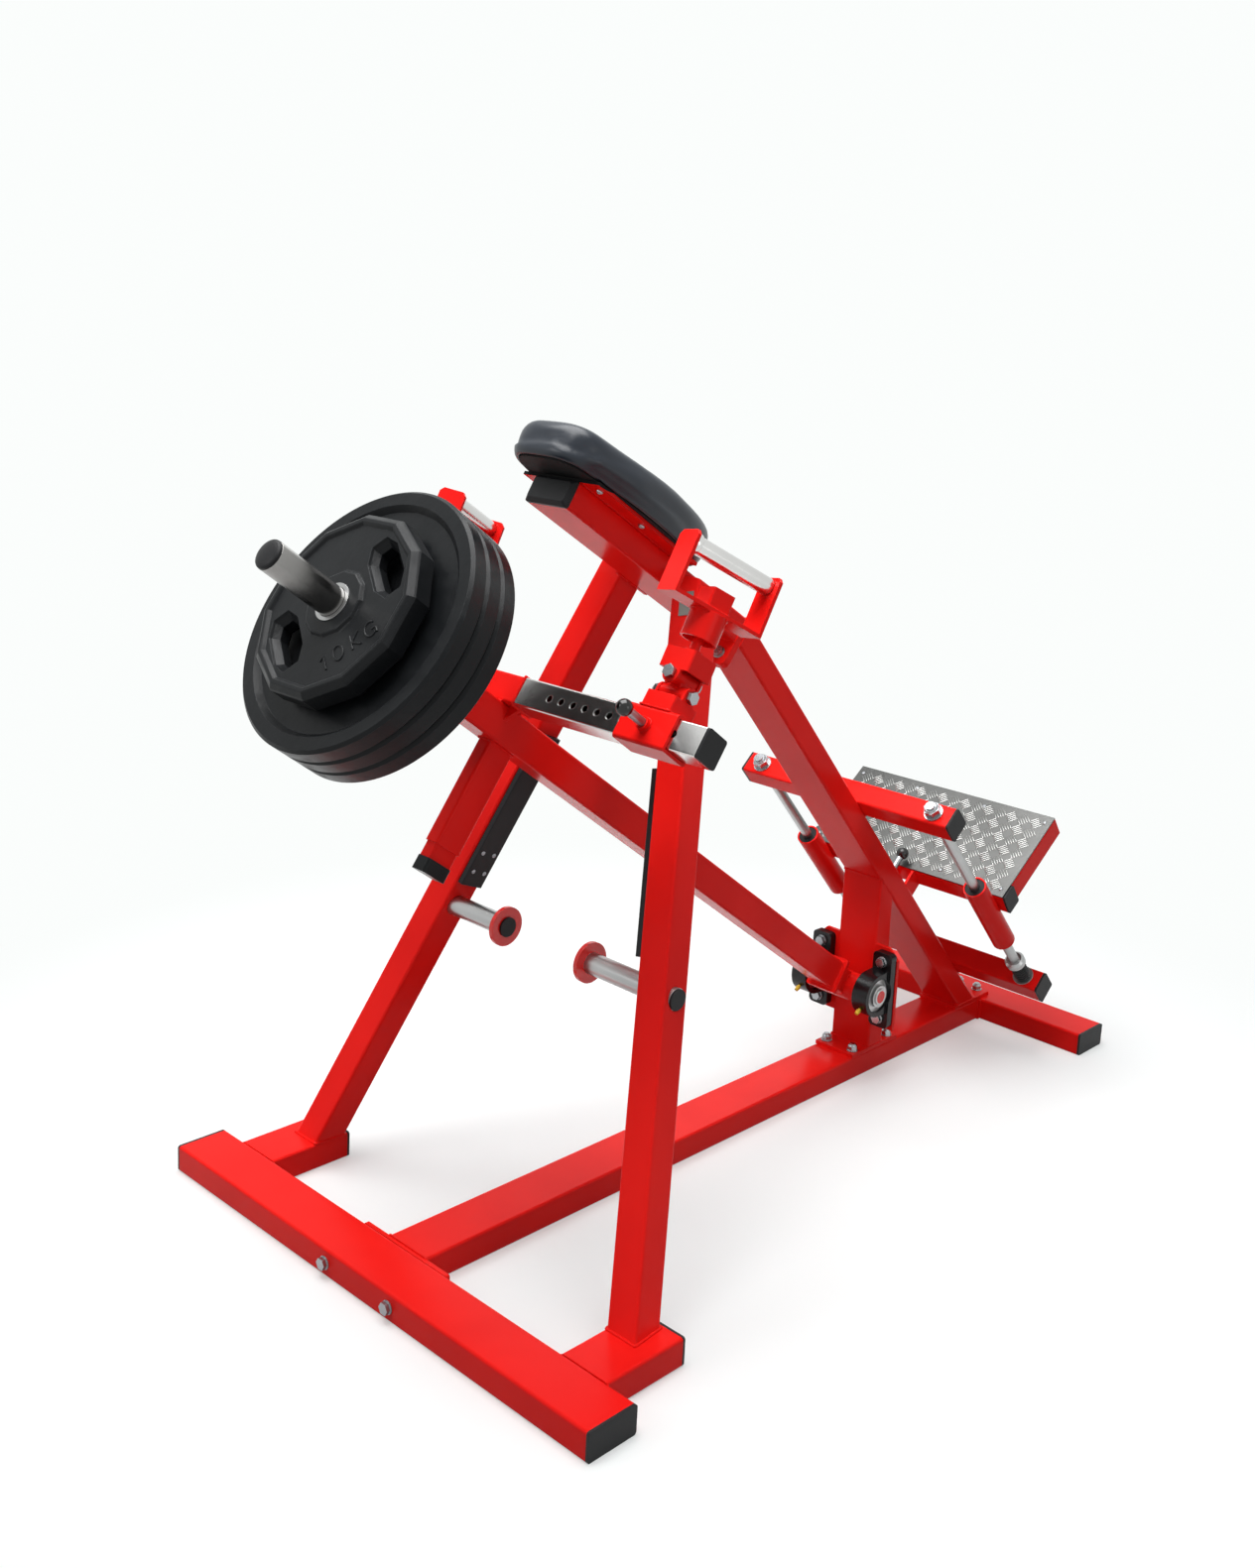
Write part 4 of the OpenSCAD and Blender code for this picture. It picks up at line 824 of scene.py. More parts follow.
@dataclass
class Beads:
    """Round beads along lines, swept by a geometry tree.

    Attributes:
        name: Name of the finished piece.
        slot: Material slot of the record.
        body: CAD body that the piece rides on.
        ripple: Share by which the radius swells and shrinks along the bead.
        step: Distance between two rings of the bead, in metres.
        lines: The lines.
    """

    name: str
    slot: str
    body: str
    ripple: float = 0.0
    step: float = 0.0022
    lines: list[Line] = field(default_factory=list)

    def make(self, build: Build) -> bpy.types.Object:
        """Runs the tree on all lines and keeps the plain mesh that it gives.

        Args:
            build: Maker that gives the piece its material and body.

        Returns:
            The finished piece.
        """
        points: list[Vector] = []
        edges: list[tuple[int, int]] = []
        sizes: list[float] = []
        for line in self.lines:
            first = len(points)
            points += line.path
            sizes += [line.radius] * len(line.path)
            edges += [(k, k + 1) for k in range(first, len(points) - 1)]
            if line.closed:
                edges.append((len(points) - 1, first))
        data = bpy.data.meshes.new(f"{self.name}_lines")
        data.from_pydata([tuple(p) for p in points], edges, [])
        data.attributes.new("bead", "FLOAT", "POINT").data.foreach_set("value", sizes)
        return build.run(self.name, data, self._tree(), {"Step": self.step, "Ripple": self.ripple},
                         self.slot, self.body)

    def _tree(self) -> bpy.types.NodeTree:
        """Sweeps a ring, swollen in waves, along every line.

        Returns:
            The tree.
        """
        tree, graph, start = geometry_tree(f"{self.name}_tree", {
            "Geometry": "Geometry", "Step": "Float", "Ripple": "Float", "Finish": "Material"})
        curve = graph.node("GeometryNodeMeshToCurve", sockets={"Mesh": start})
        even = graph.node("GeometryNodeResampleCurve", {"mode": "LENGTH"},
                          {"Curve": curve, "Length": start.other("Step")})
        size = graph.node("GeometryNodeInputNamedAttribute", {"data_type": "FLOAT"},
                          {"Name": "bead"})
        wave = abs((graph.node("GeometryNodeInputIndex") * 1.05).sine()) - 0.6
        swell = 1.0 + start.other("Ripple") * wave
        ring = graph.node("GeometryNodeCurvePrimitiveCircle", {"mode": "RADIUS"},
                          {"Resolution": 8, "Radius": 1.0})
        bead = graph.node("GeometryNodeCurveToMesh", sockets={
            "Curve": even, "Profile Curve": ring, "Scale": size * swell, "Fill Caps": True})
        smooth = graph.node("GeometryNodeSetShadeSmooth", sockets={"Geometry": bead})
        close_tree(graph, smooth, start.other("Finish"))
        return tree


# ------------------------------------------------------------------ sub-assemblies


@dataclass
class ChestPad:
    """Padded cushion, drawn down over the edge of its board.

    Attributes:
        build: Maker of meshes.
        length: Length of the cushion, in millimetres.
        width: Its width.
        middle: Distance of its middle from the beam's nose.
        seat: Height of its underside over the beam's underside.
        swell: Furthest that the pressure may move the cover, in metres.
        pressure: Pressure under the cover.
        around: Points round the outline.
        corner: Exponent of the outline: 1 gives an oval, and less gives squarer corners.
        waist: Share of the width that is lost at the waist.
        taper: Share of the width that is lost at the rear end.
        crease: Depth of the pull creases, in metres.
        uneven: Depth of the uneven filling, in metres.
    """

    build: Build
    length: float = 418.0
    width: float = 236.0
    middle: float = 131.0
    seat: float = 68.7
    swell: float = 0.005
    pressure: float = 4.0
    around: int = 120
    corner: float = 0.62
    waist: float = 0.12
    taper: float = 0.10
    crease: float = 0.0020
    uneven: float = 0.0009

    # Inset and height of each ring, from the middle of the underside to the crown
    RINGS = ((100.0, 0.0), (60.0, 0.0), (34.0, 0.0), (20.0, 0.0), (14.8, 0.0), (14.8, -5.0),
             (14.6, -9.6), (12.6, -10.6), (10.0, -10.2), (7.4, -7.6), (5.2, -3.0), (3.2, 3.0),
             (1.8, 10.0), (0.8, 18.0), (0.2, 26.0), (0.0, 34.0), (0.8, 41.0), (2.6, 47.0),
             (5.6, 52.4), (10.0, 56.8), (16.0, 60.0), (24.0, 62.4), (36.0, 64.2), (54.0, 65.4),
             (78.0, 66.0), (102.0, 66.0))
    # Frames for which the cloth is simulated
    FRAMES = 16

    def make(self) -> bpy.types.Object:
        """Builds the cushion and hides the CAD solid that it stands for.

        Returns:
            The cushion.
        """
        turns = [2 * math.pi * k / self.around for k in range(self.around)]
        points, faces = rings([[self._outline(turn, inset, height) for turn in turns]
                               for inset, height in self.RINGS])
        cover = self.build.mesh("chest_cushion", points, faces, "vinyl", "frame")
        self._inflate(cover)
        self._creases(cover)
        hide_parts("chest_pad")
        return cover

    def _outline(self, angle: float, inset: float, height: float) -> Vector:
        """One point of the cover, on the outline with its waist.

        Args:
            angle: Turn about the cushion's middle.
            inset: Distance that the point is drawn in by, in millimetres.
            height: Height over the underside, in millimetres.

        Returns:
            The point, in metres.
        """

        def power(value: float) -> float:
            """The value with its sign, pressed towards 1."""
            return math.copysign(abs(value) ** self.corner, value)

        y = (self.length / 2 - inset) * power(math.sin(angle))
        waist = self.waist * math.exp(-((y + self.length * 0.30) / (self.length * 0.16)) ** 2)
        taper = self.taper * math.exp(-((y - self.length * 0.5) / (self.length * 0.3)) ** 2)
        x = (self.width / 2 * (1 - waist - taper) - inset) * power(math.cos(angle))
        return BEAM.point(x, self.middle + y, self.seat + height)

    def _inflate(self, cover: bpy.types.Object) -> None:
        """Lets cloth pressure swell the cover, then caps how far each point went.

        Args:
            cover: The cushion. Its mesh is replaced.
        """
        rest = [vert.co.copy() for vert in cover.data.vertices]
        base = cover.vertex_groups.new(name="base")
        inverse = BEAM.matrix().inverted()
        limit = (self.seat + 4.0) * MM
        base.add([i for i, co in enumerate(rest) if (inverse @ co).z < limit], 1.0, "REPLACE")
        cloth = cover.modifiers.new("cloth", "CLOTH")
        settings = cloth.settings
        settings.use_pressure = True
        settings.uniform_pressure_force = self.pressure
        settings.effector_weights.gravity = 0.0
        settings.vertex_group_mass = "base"
        settings.quality = 4
        cloth.point_cache.frame_start, cloth.point_cache.frame_end = 1, self.FRAMES
        scene = bpy.context.scene
        for step in range(1, self.FRAMES + 1):
            scene.frame_set(step)
        graph = bpy.context.evaluated_depsgraph_get()
        data = bpy.data.meshes.new_from_object(cover.evaluated_get(graph))
        cover.modifiers.remove(cloth)
        scene.frame_set(1)
        if len(data.vertices) == len(rest):
            for vert, old in zip(data.vertices, rest):
                move = vert.co - old
                if move.length > self.swell:
                    vert.co = old + move.normalized() * self.swell
        cover.data = data

    def _creases(self, cover: bpy.types.Object) -> None:
        """Draws soft pull creases round the front corners, where the cover is drawn under.

        Args:
            cover: The cushion. Its points are moved.
        """

        def share(value: float) -> float:
            """The value kept from 0 to 1."""
            return max(0.0, min(1.0, value))

        inverse = BEAM.matrix().inverted()
        for vert in cover.data.vertices:
            local = inverse @ vert.co
            front = share((-local.y - 0.005) / 0.06)
            low = share((0.118 - local.z) / 0.03) * share((local.z - 0.062) / 0.02)
            angle = math.atan2(local.y, local.x)
            wave = noise.noise(Vector((angle * 6.0, local.z * 14.0, 0.3)))
            vert.co += vert.normal * wave * self.crease * front * low
            lump = noise.noise(vert.co * 9.0) * share((local.z - 0.069) * 90)
            vert.co += vert.normal * lump * self.uneven


@dataclass
class Tread:
    """Raised five-bar pattern of the tread plate and its screws.

    Attributes:
        build: Maker of meshes.
        width: Width of the plate, in millimetres.
        depth: Its depth.
        pitch: Distance between two groups of bars.
        margin: Strip without bars along the edges.
        gap: Distance between two bars of a group.
        screw_x: Distances of the screws from the middle.
        screw_y: Their distances from the front edge.
    """

    build: Build
    width: float = 514.0
    depth: float = 234.0
    pitch: float = 30.0
    margin: float = 9.0
    gap: float = 5.4
    screw_x: tuple[float, float] = (90.0, 243.0)
    screw_y: tuple[float, float] = (20.0, 215.0)

    def make(self) -> None:
        """Builds the bars in their alternating groups, and the screws."""
        bars: list[Matrix] = []
        columns = int((self.width - 2 * self.margin) / self.pitch)
        rows = int((self.depth - 2 * self.margin) / self.pitch)
        for i in range(columns):
            for j in range(rows):
                turn = 45.0 if (i + j) % 2 else -45.0
                x = (i - (columns - 1) / 2) * self.pitch
                y = self.depth / 2 + (j - (rows - 1) / 2) * self.pitch
                for k in range(-2, 3):
                    group = TRAY.child(x, y, 0.0, about("Z", turn))
                    spot = group.child(0.0, k * self.gap, 0.0)
                    bars.append(spot.matrix())
        pattern = Repeat("tread_bars", self._bar(), "tread", "platform", bars).make(self.build)
        # The bars take a lighter copy of the tread's metal, which paints the highlight along them
        pattern.data.materials[0] = self.build.paints.get("tread_bar")
        inner, outer = self.screw_x
        screws = [TRAY.child(x, y, 0.0).matrix() for x in (-outer, -inner, inner, outer)
                  for y in self.screw_y]
        dome = [(4.6, 0.0), (4.6, 0.6), (4.0, 1.7), (2.6, 2.5), (1.5, 2.7), (1.3, 1.4)]
        Repeat("tread_screws", lathe_unit("tread_screw", dome, 18), "zinc", "platform",
               screws).make(self.build)

    @staticmethod
    def _bar() -> bpy.types.Object:
        """One lens-shaped bar, rounded on top.

        Returns:
            The linked unit.
        """
        half, wide, high, steps = 12.5, 1.7, 1.5, 10
        points = []
        for i in range(steps + 1):
            t = -1.0 + 2.0 * i / steps
            spread = math.sqrt(max(0.0, 1.0 - t * t)) * 0.92 + 0.08
            for u, v in ((-1.0, -0.1), (-0.75, 0.65), (0.0, 1.0), (0.75, 0.65), (1.0, -0.1)):
                points.append((t * half * MM, u * wide * spread * MM, v * high * spread * MM))
        faces = [(i * 5 + k, i * 5 + k + 5, i * 5 + k + 6, i * 5 + k + 1)
                 for i in range(steps) for k in range(4)]
        faces += [(i * 5, i * 5 + 4, i * 5 + 9, i * 5 + 5) for i in range(steps)]
        faces += [(0, 1, 2, 3, 4), tuple(steps * 5 + k for k in (4, 3, 2, 1, 0))]
        unit = bpy.data.objects.new("bar", solid("bar", points, faces))
        bpy.context.scene.collection.objects.link(unit)
        return unit


@dataclass
class SmallHardware:
    """Screws of the pad and the wear strips, grip rings, leg covers and a bare plate on a leg.

    Attributes:
        build: Maker of meshes.
        pad_screw_x: Distance of the pad's screws from the middle, in millimetres.
        pad_screw_y: Their places along the beam.
        strip_screw_z: Heights of the wear strips' screws up the leg.
        strip_screw_y: Their distance from the strip's middle.
        strip_face: Distance of a strip's face from the leg's axis.
        ring_at: Distance of a grip's ring from the handle's axis.
        cover_top: Height over the beam's underside of the top of a leg's cover.
        cover_thick: Thickness of the cover.
        cover_half: Half its width.
        cover_near: How near the middle it comes.
        plate_up: Height up the leg of the bare plate's middle.
        plate_half: Half the width and half the height of the bare plate.
        plate_thick: Its thickness.
    """

    build: Build
    pad_screw_x: float = 72.0
    pad_screw_y: tuple[float, ...] = (27.0, 147.0, 267.0)
    strip_screw_z: tuple[float, ...] = (601.0, 640.0, 838.0, 877.0)
    strip_screw_y: float = 14.0
    strip_face: float = 42.0
    ring_at: float = 79.0
    cover_top: float = LEG_TOP - 0.6
    cover_thick: float = 3.0
    cover_half: float = 26.9
    cover_near: float = 58.2
    plate_up: float = 1172.0
    plate_half: tuple[float, float] = (15.0, 21.0)
    plate_thick: float = 0.8

    def make(self) -> None:
        """Places each kind of screw with one tree, then the single pieces."""
        self._pad_screws()
        self._strip_screws()
        for side, (name, *_) in HANDLES.items():
            self._grip_ring(side, name)
            self._leg_cover(side, name)
        self._leg_plate()

    def _pad_screws(self) -> None:
        """Makes the pan-head screws that hold the board from below."""
        turn = about("X", 180.0)
        spots = [BEAM.child(x, y, FLAT_HIGH, turn).matrix()
                 for x in (-self.pad_screw_x, self.pad_screw_x) for y in self.pad_screw_y]
        pan = [(6.2, 0.0), (6.2, 1.0), (5.6, 2.6), (4.0, 3.6), (3.2, 3.7), (2.9, 2.0)]
        unit = lathe_unit("pad_screw", pan, 20)
        Repeat("pad_screws", unit, "zinc", "frame", spots).make(self.build)

    def _strip_screws(self) -> None:
        """Makes the flat screws of the wear strips inside the legs."""
        spots = []
        for side in (-1, 1):
            turn = about("Y", -side * 90.0)
            for up in self.strip_screw_z:
                for y in (-self.strip_screw_y, self.strip_screw_y):
                    spot = leg_place(side).child(-side * self.strip_face, y, up, turn)
                    spots.append(spot.matrix())
        flat = [(4.4, 0.0), (4.2, 0.7), (3.4, 1.1), (2.0, 1.2), (1.8, 0.4)]
        unit = lathe_unit("strip_screw", flat, 18)
        Repeat("strip_screws", unit, "zinc", "frame", spots).make(self.build)

    def _grip_ring(self, side: int, name: str) -> None:
        """Makes the wider ring at the front end of a grip.

        Args:
            side: 1 on the right and -1 on the left.
            name: Name of the side.
        """
        place = swivel_place(side).child(0.0, -self.ring_at, BASE_LOW + GRIP_UP,
                                         about("X", -90.0))
        profile = [(15.1, 0.0), (17.0, 0.3), (17.6, 1.2), (17.6, 10.8), (17.0, 11.8), (15.1, 12.2)]
        ring = lathe_unit(f"grip_ring_{name}", profile, 40)
        ring.data.transform(place.matrix())
        for face in ring.data.polygons:
            face.use_smooth = len(face.vertices) == 4
        self.build.adopt(ring, "chrome", f"grip_{name}")

    def _leg_cover(self, side: int, name: str) -> None:
        """Closes the cut head of a leg with a thin welded plate beside the beam.

        Args:
            side: 1 on the right and -1 on the left.
            name: Name of the side.
        """
        leg, upward = leg_place(side), BEAM.turn @ Vector((0.0, 0.0, 1.0))

        def at_level(x: float, y: float, level: float) -> Vector:
            """Where a line up the leg's inside reaches a height over the beam's underside.

            Args:
                x: Sideways distance of the line from the leg's axis.
                y: Its other distance.
                level: The height.

            Returns:
                The point, in millimetres.
            """
            start = leg.origin + leg.turn @ Vector((x, y, 0.0))
            along = leg.turn @ Vector((0.0, 0.0, 1.0))
            rise = level - (start - BEAM.origin).dot(upward)
            return start + along * (rise / along.dot(upward))

        outlines = []
        for level in (self.cover_top - self.cover_thick, self.cover_top):
            corners = []
            for x, y in square(self.cover_half):
                inner, outer = (at_level(end * side * self.cover_half, y, level)
                                for end in (-1, 1))
                spare = (self.cover_near - side * inner.x) / (side * (outer.x - inner.x))
                corner = outer if x > 0 else inner.lerp(outer, max(0.0, spare))
                corners.append(corner * MM)
            outlines.append(corners)
        points, faces = rings(outlines)
        cover = bpy.data.objects.new(f"leg_cover_{name}", solid("leg_cover", points, faces, False))
        self.build.adopt(cover, "red_paint", "frame")

    def _leg_plate(self) -> None:
        """Makes the small bare metal plate on the right leg's front face."""
        place = leg_place(1).child(6.0, -LEG_HALF, self.plate_up, about("X", 90.0))
        points, faces = rings([[place.point(x, y, z) for x, y in oblong(*self.plate_half)]
                               for z in (0.0, self.plate_thick)])
        plate = bpy.data.objects.new("leg_plate", solid("leg_plate", points, faces, False))
        self.build.adopt(plate, "steel", "frame", "bare_plate")


@dataclass
class SmallPlate:
    """Twelve-sided plate with a raised edge, two grip windows, a hub ring and its weight.

    Attributes:
        build: Maker of meshes.
        radius: Distance from the middle to a corner, in millimetres.
        depth: Thickness without the hub ring.
        bore: Radius of the hole for the bush.
        window_at: Distance from the middle to the middle of a window.
        window_turn: Angle of the line through both windows.
        window_half: Half the width and half the length of a window at its narrowest.
        window_cut: Width and length that its corners lose.
        face: Height of the face between edge and hub ring.
        weight_at: Place of the lettering on the face.
        weight_turn: Angle of the lettering.
    """

    build: Build
    radius: float = 159.0
    depth: float = 45.0
    bore: float = 32.3
    window_at: float = 98.0
    window_turn: float = 50.0
    window_half: tuple[float, float] = (19.0, 46.0)
    window_cut: tuple[float, float] = (9.0, 19.0)
    face: float = 40.0
    weight_at: tuple[float, float] = (74.0, -59.0)
    weight_turn: float = 51.0

    # How far out a window's edge lies at each height, from under the plate to over it
    FUNNEL = ((9.0, -1.0), (0.0, 9.0), (0.0, 26.0), (8.0, 36.0), (11.0, 42.0), (12.0, 60.0))

    def make(self) -> None:
        """Builds the plate and its lettering."""
        place = LEVER.child(0.0, -FACE_AT, 0.0, about("X", 90.0))
        blank = self._body(place)
        cutters = [self._bore(place)] + [self._window(place, turn) for turn in (0.0, 180.0)]
        for cutter in cutters:
            hole = blank.modifiers.new(cutter.name, "BOOLEAN")
            hole.operation, hole.solver, hole.object = "DIFFERENCE", "EXACT", cutter
        data = self.build.frozen(blank)
        for spare in (blank, *cutters):
            bpy.data.objects.remove(spare)
        data.name = "grip_plate"
        plate = self.build.adopt(bpy.data.objects.new("grip_plate", data), "rubber", "plates")
        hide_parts("small_plate")
        self._weight(place)

    @staticmethod
    def _loft(name: str, place: Place, outlines: Sequence[Outline]) -> bpy.types.Object:
        """A linked solid through outlines in the plate's own frame.

        Args:
            name: Name of the solid.
            place: The plate's frame.
            outlines: Outlines, in millimetres.

        Returns:
            The solid.
        """
        points, faces = rings([[place.point(*spot) for spot in outline] for outline in outlines])
        shape = bpy.data.objects.new(name, solid(name, points, faces, False))
        bpy.context.scene.collection.objects.link(shape)
        return shape

    @staticmethod
    def _polygon(radius: float, height: float, sides: int, turn: float) -> Outline:
        """Corners of a regular outline at a height.

        Args:
            radius: Distance from the middle to a corner.
            height: The height.
            sides: Number of its sides.
            turn: Angle of its first corner, in degrees.

        Returns:
            The corners.
        """
        angles = [math.radians(turn + 360 * k / sides) for k in range(sides)]
        return [(radius * math.cos(a), radius * math.sin(a), height) for a in angles]

    def _body(self, place: Place) -> bpy.types.Object:
        """The plate without its holes: edge, face and hub ring in one skin.

        Args:
            place: The plate's frame.

        Returns:
            The linked solid.
        """
        r, d = self.radius, self.depth
        steps = [(r - 5, 0.0), (r, 5.0), (r, d - 10), (r - 2, d - 7), (r - 9, d - 1), (r - 11, d),
                 (r - 16, d), (r - 18, d - 1), (r - 22, self.face), (60.0, self.face),
                 (57.0, self.face + 0.6), (54.0, d), (52.0, d + 0.8), (44.0, d + 0.8)]
        return self._loft("blank", place, [self._polygon(a, h, 12, 15.0) for a, h in steps])

    def _bore(self, place: Place) -> bpy.types.Object:
        """Cutter of the hole for the bush."""
        ends = [self._polygon(self.bore, h, 64, 0.0) for h in (-2.0, 50.0)]
        return self._loft("bore", place, ends)

    def _window(self, place: Place, turn: float) -> bpy.types.Object:
        """Cutter of a grip window, which opens like a funnel to both faces.

        Args:
            place: The plate's frame.
            turn: Angle of the window after the first one, in degrees.

        Returns:
            The linked cutter.
        """
        here = place.child(0.0, 0.0, 0.0, about("Z", self.window_turn + turn))
        outlines = []
        for grown, height in self.FUNNEL:
            a, b = (half + grown for half in self.window_half)
            c, d = self.window_cut[0] + grown * 0.5, self.window_cut[1] + grown * 0.8
            outlines.append([(self.window_at + x, y, height) for x, y in (
                (a, d - b), (a, b - d), (a - c, b), (c - a, b), (-a, b - d), (-a, d - b),
                (c - a, -b), (a - c, -b))])
        return self._loft(f"window_{turn:.0f}", here, outlines)

    def _weight(self, place: Place) -> None:
        """Raised lettering of the weight, in rounded lines.

        Args:
            place: The plate's frame.
        """
        here = place.child(*self.weight_at, self.face, about("Z", self.weight_turn))
        ring = [2 * math.pi * k / 24 for k in range(24)]
        strokes = [
            ([(-48, 8), (-41, 14), (-41, -14)], False),
            ([(-15 + 9 * math.cos(a), 14 * math.sin(a)) for a in ring], True),
            ([(10, 14), (10, -14)], False),
            ([(25, 14), (11, 0), (26, -14)], False),
            ([(46 + 10 * math.cos(a), 14 * math.sin(a)) for a in ring[3:22]], False),
            ([(48, -2), (56, -2), (56, -13)], False),
        ]
        lines = [Line([here.point(x, y, 0.2) for x, y in path], 1.7 * MM, closed)
                 for path, closed in strokes]
        Beads("plate_weight", "rubber", "plates", step=0.003, lines=lines).make(self.build)


class Bead(Enum):
    """Radius of a weld bead, in metres."""

    BOSS = 0.0016
    THIN = 0.0018
    SLIM = 0.0020
    PLAIN = 0.0022
    HEAD = 0.0024
    FULL = 0.0026
    FOOT = 0.0028


@dataclass
class Welds:
    """Painted weld beads round the joints of the steelwork. Sizes are in millimetres.

    Attributes:
        build: Maker of meshes.
        off: How far the middle of a bead stands off the faces that it joins.
        plate: Thickness of the plates between the tubes.
        stub_at: Distance of a leg stub's axis from the middle.
        leg_plate_face: Distance from the middle of the face on which a leg ends.
        crossbars: Middles of the guides' crossbars along the strut.
        spine_ends: Where the seams of the spine's flange plates run.
        pad_plate: Ends of the seams of the pad's mounting plate, along the beam.
        arm_run: Distances from the axis between which the arm runs.
        stop_at: Distance of the stop leg's middle from the axis.
        stop_half: Half the width and half the depth of the stop leg.
        rail_middle: Half the length of the rail's painted middle.
        sleeve_half: Half the height of a sleeve.
        link_half: Half the width of the link box on a sleeve.
        boss_round: Radius of the seam round a pin's boss.
        collar_round: Radius of the seam between a bracket's collar and its base.
        base_top: Height of the seam on a bracket's base.
        block_half: Half the width of the block on that base.
        lines: The lines of the beads on each body.
    """

    build: Build
    off: float = 0.4
    plate: float = 8.0
    stub_at: float = 433.0
    leg_plate_face: float = 58.0
    crossbars: tuple[float, float] = (-188.0, 430.0)
    spine_ends: tuple[float, float] = (58.4, 1719.6)
    pad_plate: tuple[float, float] = (6.0, 286.0)
    arm_run: tuple[float, float] = (66.0, 1494.0)
    stop_at: float = 1227.0
    stop_half: tuple[float, float] = (15.0, 30.0)
    rail_middle: float = 52.0
    sleeve_half: float = 31.0
    link_half: float = 30.0
    boss_round: float = 11.3
    collar_round: float = 30.2
    base_top: float = BASE_LOW + 6.3
    block_half: float = 21.0
    lines: dict[str, list[Line]] = field(default_factory=lambda: defaultdict(list))

    def make(self) -> None:
        """Lays every bead."""
        for side in (-1, 1):
            self._leg(side)
        self._post()
        self._slopes()
        self._spine()
        self._lever()
        self._handles()
        for body, lines in self.lines.items():
            Beads(f"welds_{body}", "red_paint", body, 0.30, lines=lines).make(self.build)

    def _bead(self, path: Sequence[Vector], body: str = "frame", closed: bool = False,
              size: Bead = Bead.PLAIN) -> None:
        """Adds one bead.

        Args:
            path: Corners of its line, in metres.
            body: CAD body that it rides on.
            closed: Whether it runs back into its start.
            size: Its radius.
        """
        self.lines[body].append(Line(list(path), size.value, closed))

    @staticmethod
    def _slice(place: Place, corners: Sequence[Sequence[float]], axis: int,
               cut: Place) -> list[Vector]:
        """Where the edges of a tube meet a plane.

        Args:
            place: Frame of the tube.
            corners: One local point on each edge.
            axis: Local axis that the tube runs along.
            cut: Place whose z axis is square to the plane, with the plane through its origin.

        Returns:
            The points, in metres.
        """
        run = place.turn.col[axis].copy()
        normal = cut.turn.col[2].copy()
        spots = []
        for corner in corners:
            start = place.origin + place.turn @ Vector(corner)
            spots.append((start + run * ((cut.origin - start).dot(normal) / run.dot(normal))) * MM)
        return spots

    def _leg(self, side: int) -> None:
        """Beads of a leg and of the stub that it stands on.

        Args:
            side: 1 on the right and -1 on the left.
        """
        corners = [(x, y, 0.0) for x, y in square(LEG_HALF)]
        foot = self._slice(leg_place(side), corners, 2, WORLD.child(0, 0, FLAT_HIGH + 0.6))
        self._bead(foot, closed=True, size=Bead.FOOT)
        face = WORLD.child(side * (self.leg_plate_face + self.off), 0, 0, about("Y", 90.0))
        head = self._slice(leg_place(side), corners, 2, face)
        inner = [head[k] for k in ((1, 0, 3, 2) if side > 0 else (0, 1, 2, 3))]
        inner[0], inner[3] = self._below(inner[1], inner[0]), self._below(inner[2], inner[3])
        self._bead(inner, size=Bead.HEAD)
        for x in (self.stub_at - FLAT_HALF, self.stub_at + FLAT_HALF):
            seam = [WORLD.point(side * x, FLAT_HALF + self.off, z) for z in (3.0, FLAT_HIGH - 3.0)]
            self._bead(seam, size=Bead.THIN)

    @staticmethod
    def _below(low: Vector, high: Vector) -> Vector:
        """Cuts a seam off where the legs end.

        Args:
            low: Its lower end.
            high: Its upper end.

        Returns:
            The upper end, or the point at which the leg is cut.
        """
        inverse = BEAM.matrix().inverted()
        a, b, limit = (inverse @ low).z, (inverse @ high).z, LEG_TOP * MM
        return high if b <= limit else low.lerp(high, (limit - a) / (b - a))

    @staticmethod
    def _tube() -> list[tuple[float, float, float]]:
        """One point on each edge of a flat tube whose underside is at height 0."""
        return [(-FLAT_HALF, 0.0, 0.0), (FLAT_HALF, 0.0, 0.0), (FLAT_HALF, 0.0, FLAT_HIGH),
                (-FLAT_HALF, 0.0, FLAT_HIGH)]

    def _across(self, place: Place, y: float, z: float, size: Bead = Bead.PLAIN) -> None:
        """Adds a straight bead across a flat tube.

        Args:
            place: Frame in which it lies.
            y: Its place along the tube.
            z: Its height.
            size: Its radius.
        """
        reach = FLAT_HALF - 2.0
        self._bead([place.point(x, y, z) for x in (-reach, reach)], size=size)

    def _post(self) -> None:
        """Beads round the feet of the strut and the post, and where the two meet."""
        top = FLAT_HIGH + self.plate + self.off
        self._bead(self._slice(STRUT, self._tube(), 1, WORLD.child(0, 0, top)), closed=True)
        post = [(-FLAT_HALF, POST_FRONT), (FLAT_HALF, POST_FRONT), (FLAT_HALF, POST_BACK),
                (-FLAT_HALF, POST_BACK)]
        self._bead([WORLD.point(x, y, top) for x, y in post], closed=True)
        self._across(WORLD, POST_FRONT - self.off, STRUT_Z, Bead.FULL)

    def _slopes(self) -> None:
        """Beads of the flanges between beam and strut, the crossbars and the pad's plate."""
        for place, y in ((BEAM, -self.plate - self.off), (STRUT, self.plate + self.off)):
            cut = JOINT.child(0, y, 0, about("X", 90.0))
            self._bead(self._slice(place, self._tube(), 1, cut), closed=True, size=Bead.SLIM)
        for middle in self.crossbars:
            for y in (middle - RAIL_HALF, middle + RAIL_HALF):
                self._across(STRUT, y, FLAT_HIGH + self.off)
        for side in (-1, 1):
            x = side * (FLAT_HALF + self.off)
            seam = [BEAM.point(x, y, FLAT_HIGH - self.off / 2) for y in self.pad_plate]
            self._bead(seam, size=Bead.THIN)

